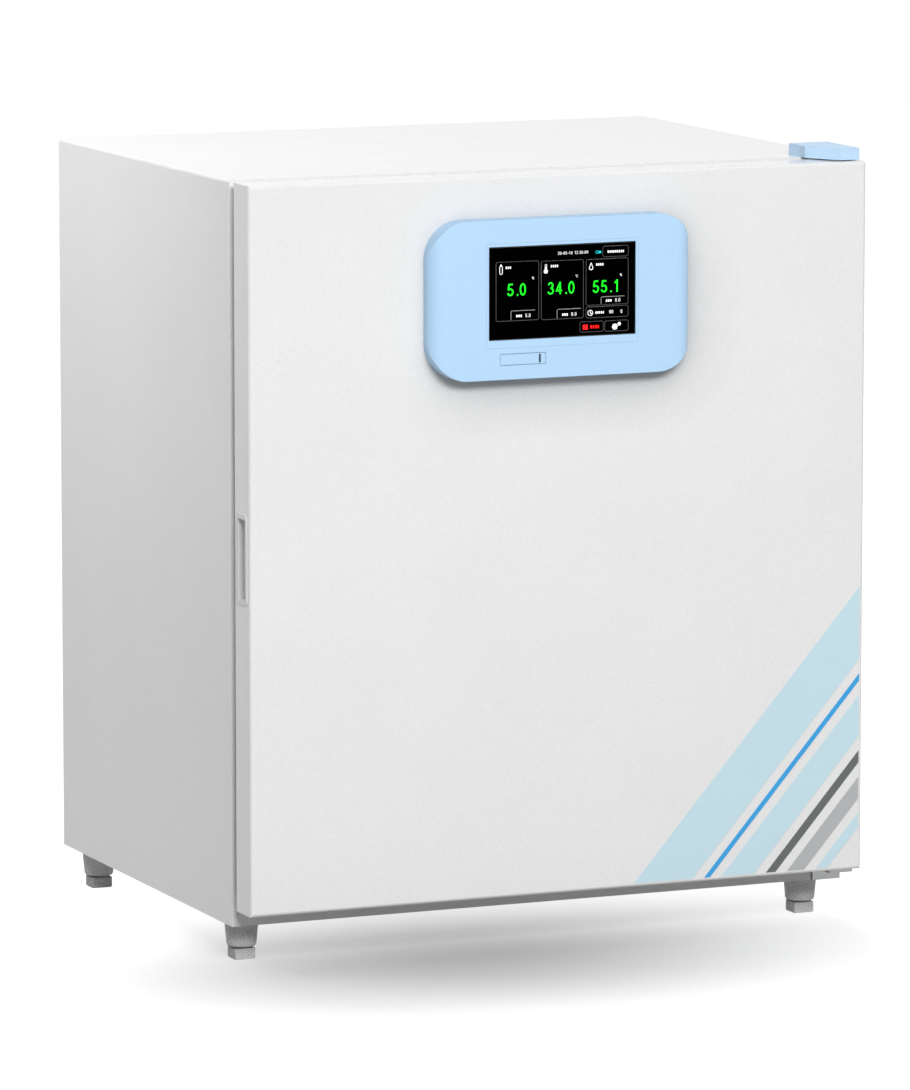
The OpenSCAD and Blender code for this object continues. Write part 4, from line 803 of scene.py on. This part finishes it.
def screw(name, place, axis, body, r=3.2 * MM, h=1.8 * MM):
    """Domed screw with a cross recess, its head standing on place along axis."""
    bm = bmesh.new()
    foot = Vector(place)
    axis = Vector(axis).normalized()
    side = axis.orthogonal().normalized()
    other = axis.cross(side)
    rows = []
    for radius, height in HEAD_ROWS:
        row = []
        for i in range(HEAD_STEPS):
            a = 2 * math.pi * i / HEAD_STEPS
            out = side * math.cos(a) * r * radius + other * math.sin(a) * r * radius
            row.append(bm.verts.new(foot + out + axis * h * height))
        rows.append(row)
    arm, slim = CROSS_ARM * r, CROSS_SLIM * r
    cross = []
    for quarter in range(4):
        u = side * math.cos(quarter * math.pi / 2) + other * math.sin(quarter * math.pi / 2)
        v = axis.cross(u)
        for s, t in ((slim, -slim), (arm, -slim), (arm, slim)):
            cross.append(u * s + v * t)
    top = [bm.verts.new(foot + c + axis * h * HEAD_TOP) for c in cross]
    bottom = [bm.verts.new(foot + c + axis * h * CROSS_FLOOR) for c in cross]
    for a, b in zip(rows, rows[1:]):
        for i in range(HEAD_STEPS):
            j = (i + 1) % HEAD_STEPS
            bm.faces.new((a[i], a[j], b[j], b[i]))
    bm.faces.new(rows[0][::-1])
    crown = rows[-1]
    for i in range(CROSS_POINTS):
        j = (i + 1) % CROSS_POINTS
        one, two, three = crown[2 * i], crown[2 * i + 1], crown[(2 * i + 2) % HEAD_STEPS]
        bm.faces.new((top[i], top[j], bottom[j], bottom[i]))
        bm.faces.new((one, two, top[j], top[i]))
        bm.faces.new((two, three, top[j]))
    bm.faces.new(bottom)
    finish_piece(name, bm, EXTRA["screw_steel"], body)


def back_screws(inset=9 * MM, columns=5, rows=6):
    """Screws round the rear panel."""
    x1 = BACK_HIGH.x - inset
    z0, z1 = BACK_LOW.z + inset, BACK_HIGH.z - inset
    spots = []
    for i in range(columns + 1):
        x = -x1 + 2 * x1 * i / columns
        spots += [(x, z0), (x, z1)]
    for i in range(1, rows):
        z = z0 + (z1 - z0) * i / rows
        spots += [(-x1, z), (x1, z)]
    for i, (x, z) in enumerate(spots):
        screw(f"back_screw_{i}", (x, BACK_HIGH.y, z), BACKWARD, "cabinet")


def guard_screws(half=57.0 * MM, out=52.5 * MM):
    """Four screws for each fan guard, whose half width is half."""
    low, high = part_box("fan_guards")
    z = 0.5 * (low.z + high.z)
    for side in LEFT_RIGHT:
        x = side * (high.x - half)
        for i, (a, b) in enumerate(FOUR_CORNERS):
            spot = (x + a * out, high.y, z + b * out)
            screw(f"guard_screw_{side}_{i}", spot, BACKWARD, "cabinet", 3.6 * MM)


def inlet_screws(inset=4 * MM):
    """Screws beside the power inlet."""
    low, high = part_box("power_inlet")
    z = 0.5 * (low.z + high.z)
    for i, x in enumerate((low.x + inset, high.x - inset)):
        screw(f"inlet_screw_{i}", (x, high.y, z), BACKWARD, "cabinet", 2.4 * MM, 1.2 * MM)


def leaf_screws(inset=12 * MM, columns=(5 * MM, 16 * MM), sink=3 * MM):
    """Screws of the glass door's hinge leaves."""
    low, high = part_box("glass_hinge_leaves")
    for i, z in enumerate((low.z + inset, high.z - inset)):
        for k, x in enumerate(columns):
            spot = (low.x + x, low.y + sink, z)
            screw(f"leaf_screw_{i}_{k}", spot, FORWARD, "inner_door", 2.6 * MM, 1.3 * MM)


def bracket_screws(inset=18 * MM, apart=11 * MM, from_right=4 * MM, sink=2 * MM):
    """Screws of the glass door's hinge brackets."""
    low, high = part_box("glass_hinge_brackets")
    for i, z in enumerate((low.z + inset, high.z - inset)):
        for k in LEFT_RIGHT:
            spot = (high.x - from_right, high.y - sink, z + k * apart)
            screw(f"bracket_screw_{i}_{k}", spot, FORWARD, "cabinet", 2.4 * MM, 1.2 * MM)


def duct_screws(inset_z=10 * MM, inset_x=8 * MM):
    """Screws of the duct cover."""
    low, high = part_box("duct_cover")
    heights = (low.z + inset_z, 0.5 * (low.z + high.z), high.z - inset_z)
    for i, z in enumerate(heights):
        for k, x in enumerate((low.x + inset_x, high.x - inset_x)):
            screw(f"duct_screw_{i}_{k}", (x, low.y, z), FORWARD, "cabinet")


# Light, floor and camera


def background_rays(tree):
    """Socket that is 1 for camera, glossy and transmission rays."""
    path = tree.nodes.new("ShaderNodeLightPath")
    last = path.outputs["Is Camera Ray"]
    for name in ("Is Glossy Ray", "Is Transmission Ray"):
        either = tree.nodes.new("ShaderNodeMath")
        either.operation = "MAXIMUM"
        tree.links.new(last, either.inputs[0])
        tree.links.new(path.outputs[name], either.inputs[1])
        last = either.outputs["Value"]
    return last


def world_light():
    """White world, brighter to the eye than as a light."""
    world = bpy.data.worlds.new("studio")
    bpy.context.scene.world = world
    world.use_nodes = True
    tree = world.node_tree
    tree.nodes.clear()
    out = tree.nodes.new("ShaderNodeOutputWorld")
    mix = tree.nodes.new("ShaderNodeMixShader")
    tree.links.new(background_rays(tree), mix.inputs["Fac"])
    for entry, strength in ((1, WORLD_LIT), (2, WORLD_SEEN)):
        ground = tree.nodes.new("ShaderNodeBackground")
        ground.inputs["Color"].default_value = (*FULL, 1)
        ground.inputs["Strength"].default_value = strength
        tree.links.new(ground.outputs["Background"], mix.inputs[entry])
    tree.links.new(mix.outputs["Shader"], out.inputs["Surface"])


def lamp(name, place, target, size, power):
    """Area lamp that no camera, mirror or glass shows."""
    data = bpy.data.lights.new(name, "AREA")
    data.shape = "RECTANGLE"
    data.size, data.size_y = size
    data.energy = power
    lamp_object = bpy.data.objects.new(name, data)
    bpy.context.scene.collection.objects.link(lamp_object)
    lamp_object.location = place
    lamp_object.visible_camera = False
    lamp_object.visible_glossy = False
    aim = Vector(target) - Vector(place)
    lamp_object.rotation_euler = aim.to_track_quat("-Z", "Y").to_euler()


def floor_plane():
    """Floor that takes real shadows and, to the eye, glows white round a soft painted one."""
    bm = bmesh.new()
    bmesh.ops.create_grid(bm, x_segments=1, y_segments=1, size=FLOOR_REACH)
    mesh = bpy.data.meshes.new("floor")
    bm.to_mesh(mesh)
    bm.free()
    floor = bpy.data.objects.new("floor", mesh)
    bpy.context.scene.collection.objects.link(floor)
    n = Nodes("floor_white")
    n.set(n.shader, Roughness=0.9, Specular_IOR_Level=0.0, Base_Color=(*FLOOR_GREY, 1))
    place = n.add("ShaderNodeMapping", vector_type="TEXTURE")
    n.set(place, Location=SHADOW_MIDDLE, Scale=SHADOW_AXES)
    n.join(n.coords, "Object", place, "Vector")
    away = n.add("ShaderNodeVectorMath", operation="LENGTH")
    n.join(place, "Vector", away, 0)
    level = n.add("ShaderNodeMapRange", interpolation_type="SMOOTHSTEP")
    n.set(level, From_Min=0.0, From_Max=SHADOW_FADE, To_Min=SHADOW_GLOW, To_Max=OPEN_GLOW)
    n.join(away, "Value", level, "Value")
    glow = n.add("ShaderNodeEmission")
    n.join(level, "Result", glow, "Strength")
    pick = n.add("ShaderNodeMixShader")
    n.tree.links.new(background_rays(n.tree), pick.inputs["Fac"])
    n.join(glow, "Emission", pick, 2)
    total = n.add("ShaderNodeAddShader")
    n.join(n.shader, "BSDF", total, 0)
    n.join(pick, "Shader", total, 1)
    n.join(total, "Shader", n.out, "Surface")
    mesh.materials.append(n.material)


def camera():
    """Camera at the photograph's viewing angle."""
    data = bpy.data.cameras.new("camera")
    data.lens = CAM_LENS
    data.sensor_width = CAM_SENSOR
    data.clip_end = CAM_FAR
    cam = bpy.data.objects.new("camera", data)
    bpy.context.scene.collection.objects.link(cam)
    cam.location = CAM_PLACE
    back = Vector((
        math.sin(CAM_AZIMUTH) * math.cos(CAM_ELEVATION),
        -math.cos(CAM_AZIMUTH) * math.cos(CAM_ELEVATION),
        math.sin(CAM_ELEVATION),
    ))
    cam.rotation_euler = (-back).to_track_quat("-Z", "Y").to_euler()
    bpy.context.scene.camera = cam


def main():
    dress_frame()
    screen_tiles()
    screen_figures()
    screen_marks()
    screen_tabs()
    door_stripes()
    bezel_groove()
    back_screws()
    guard_screws()
    inlet_screws()
    leaf_screws()
    bracket_screws()
    duct_screws()
    world_light()
    for row in LAMPS:
        lamp(*row)
    floor_plane()
    camera()
    bpy.context.scene.view_settings.view_transform = "Standard"


main()
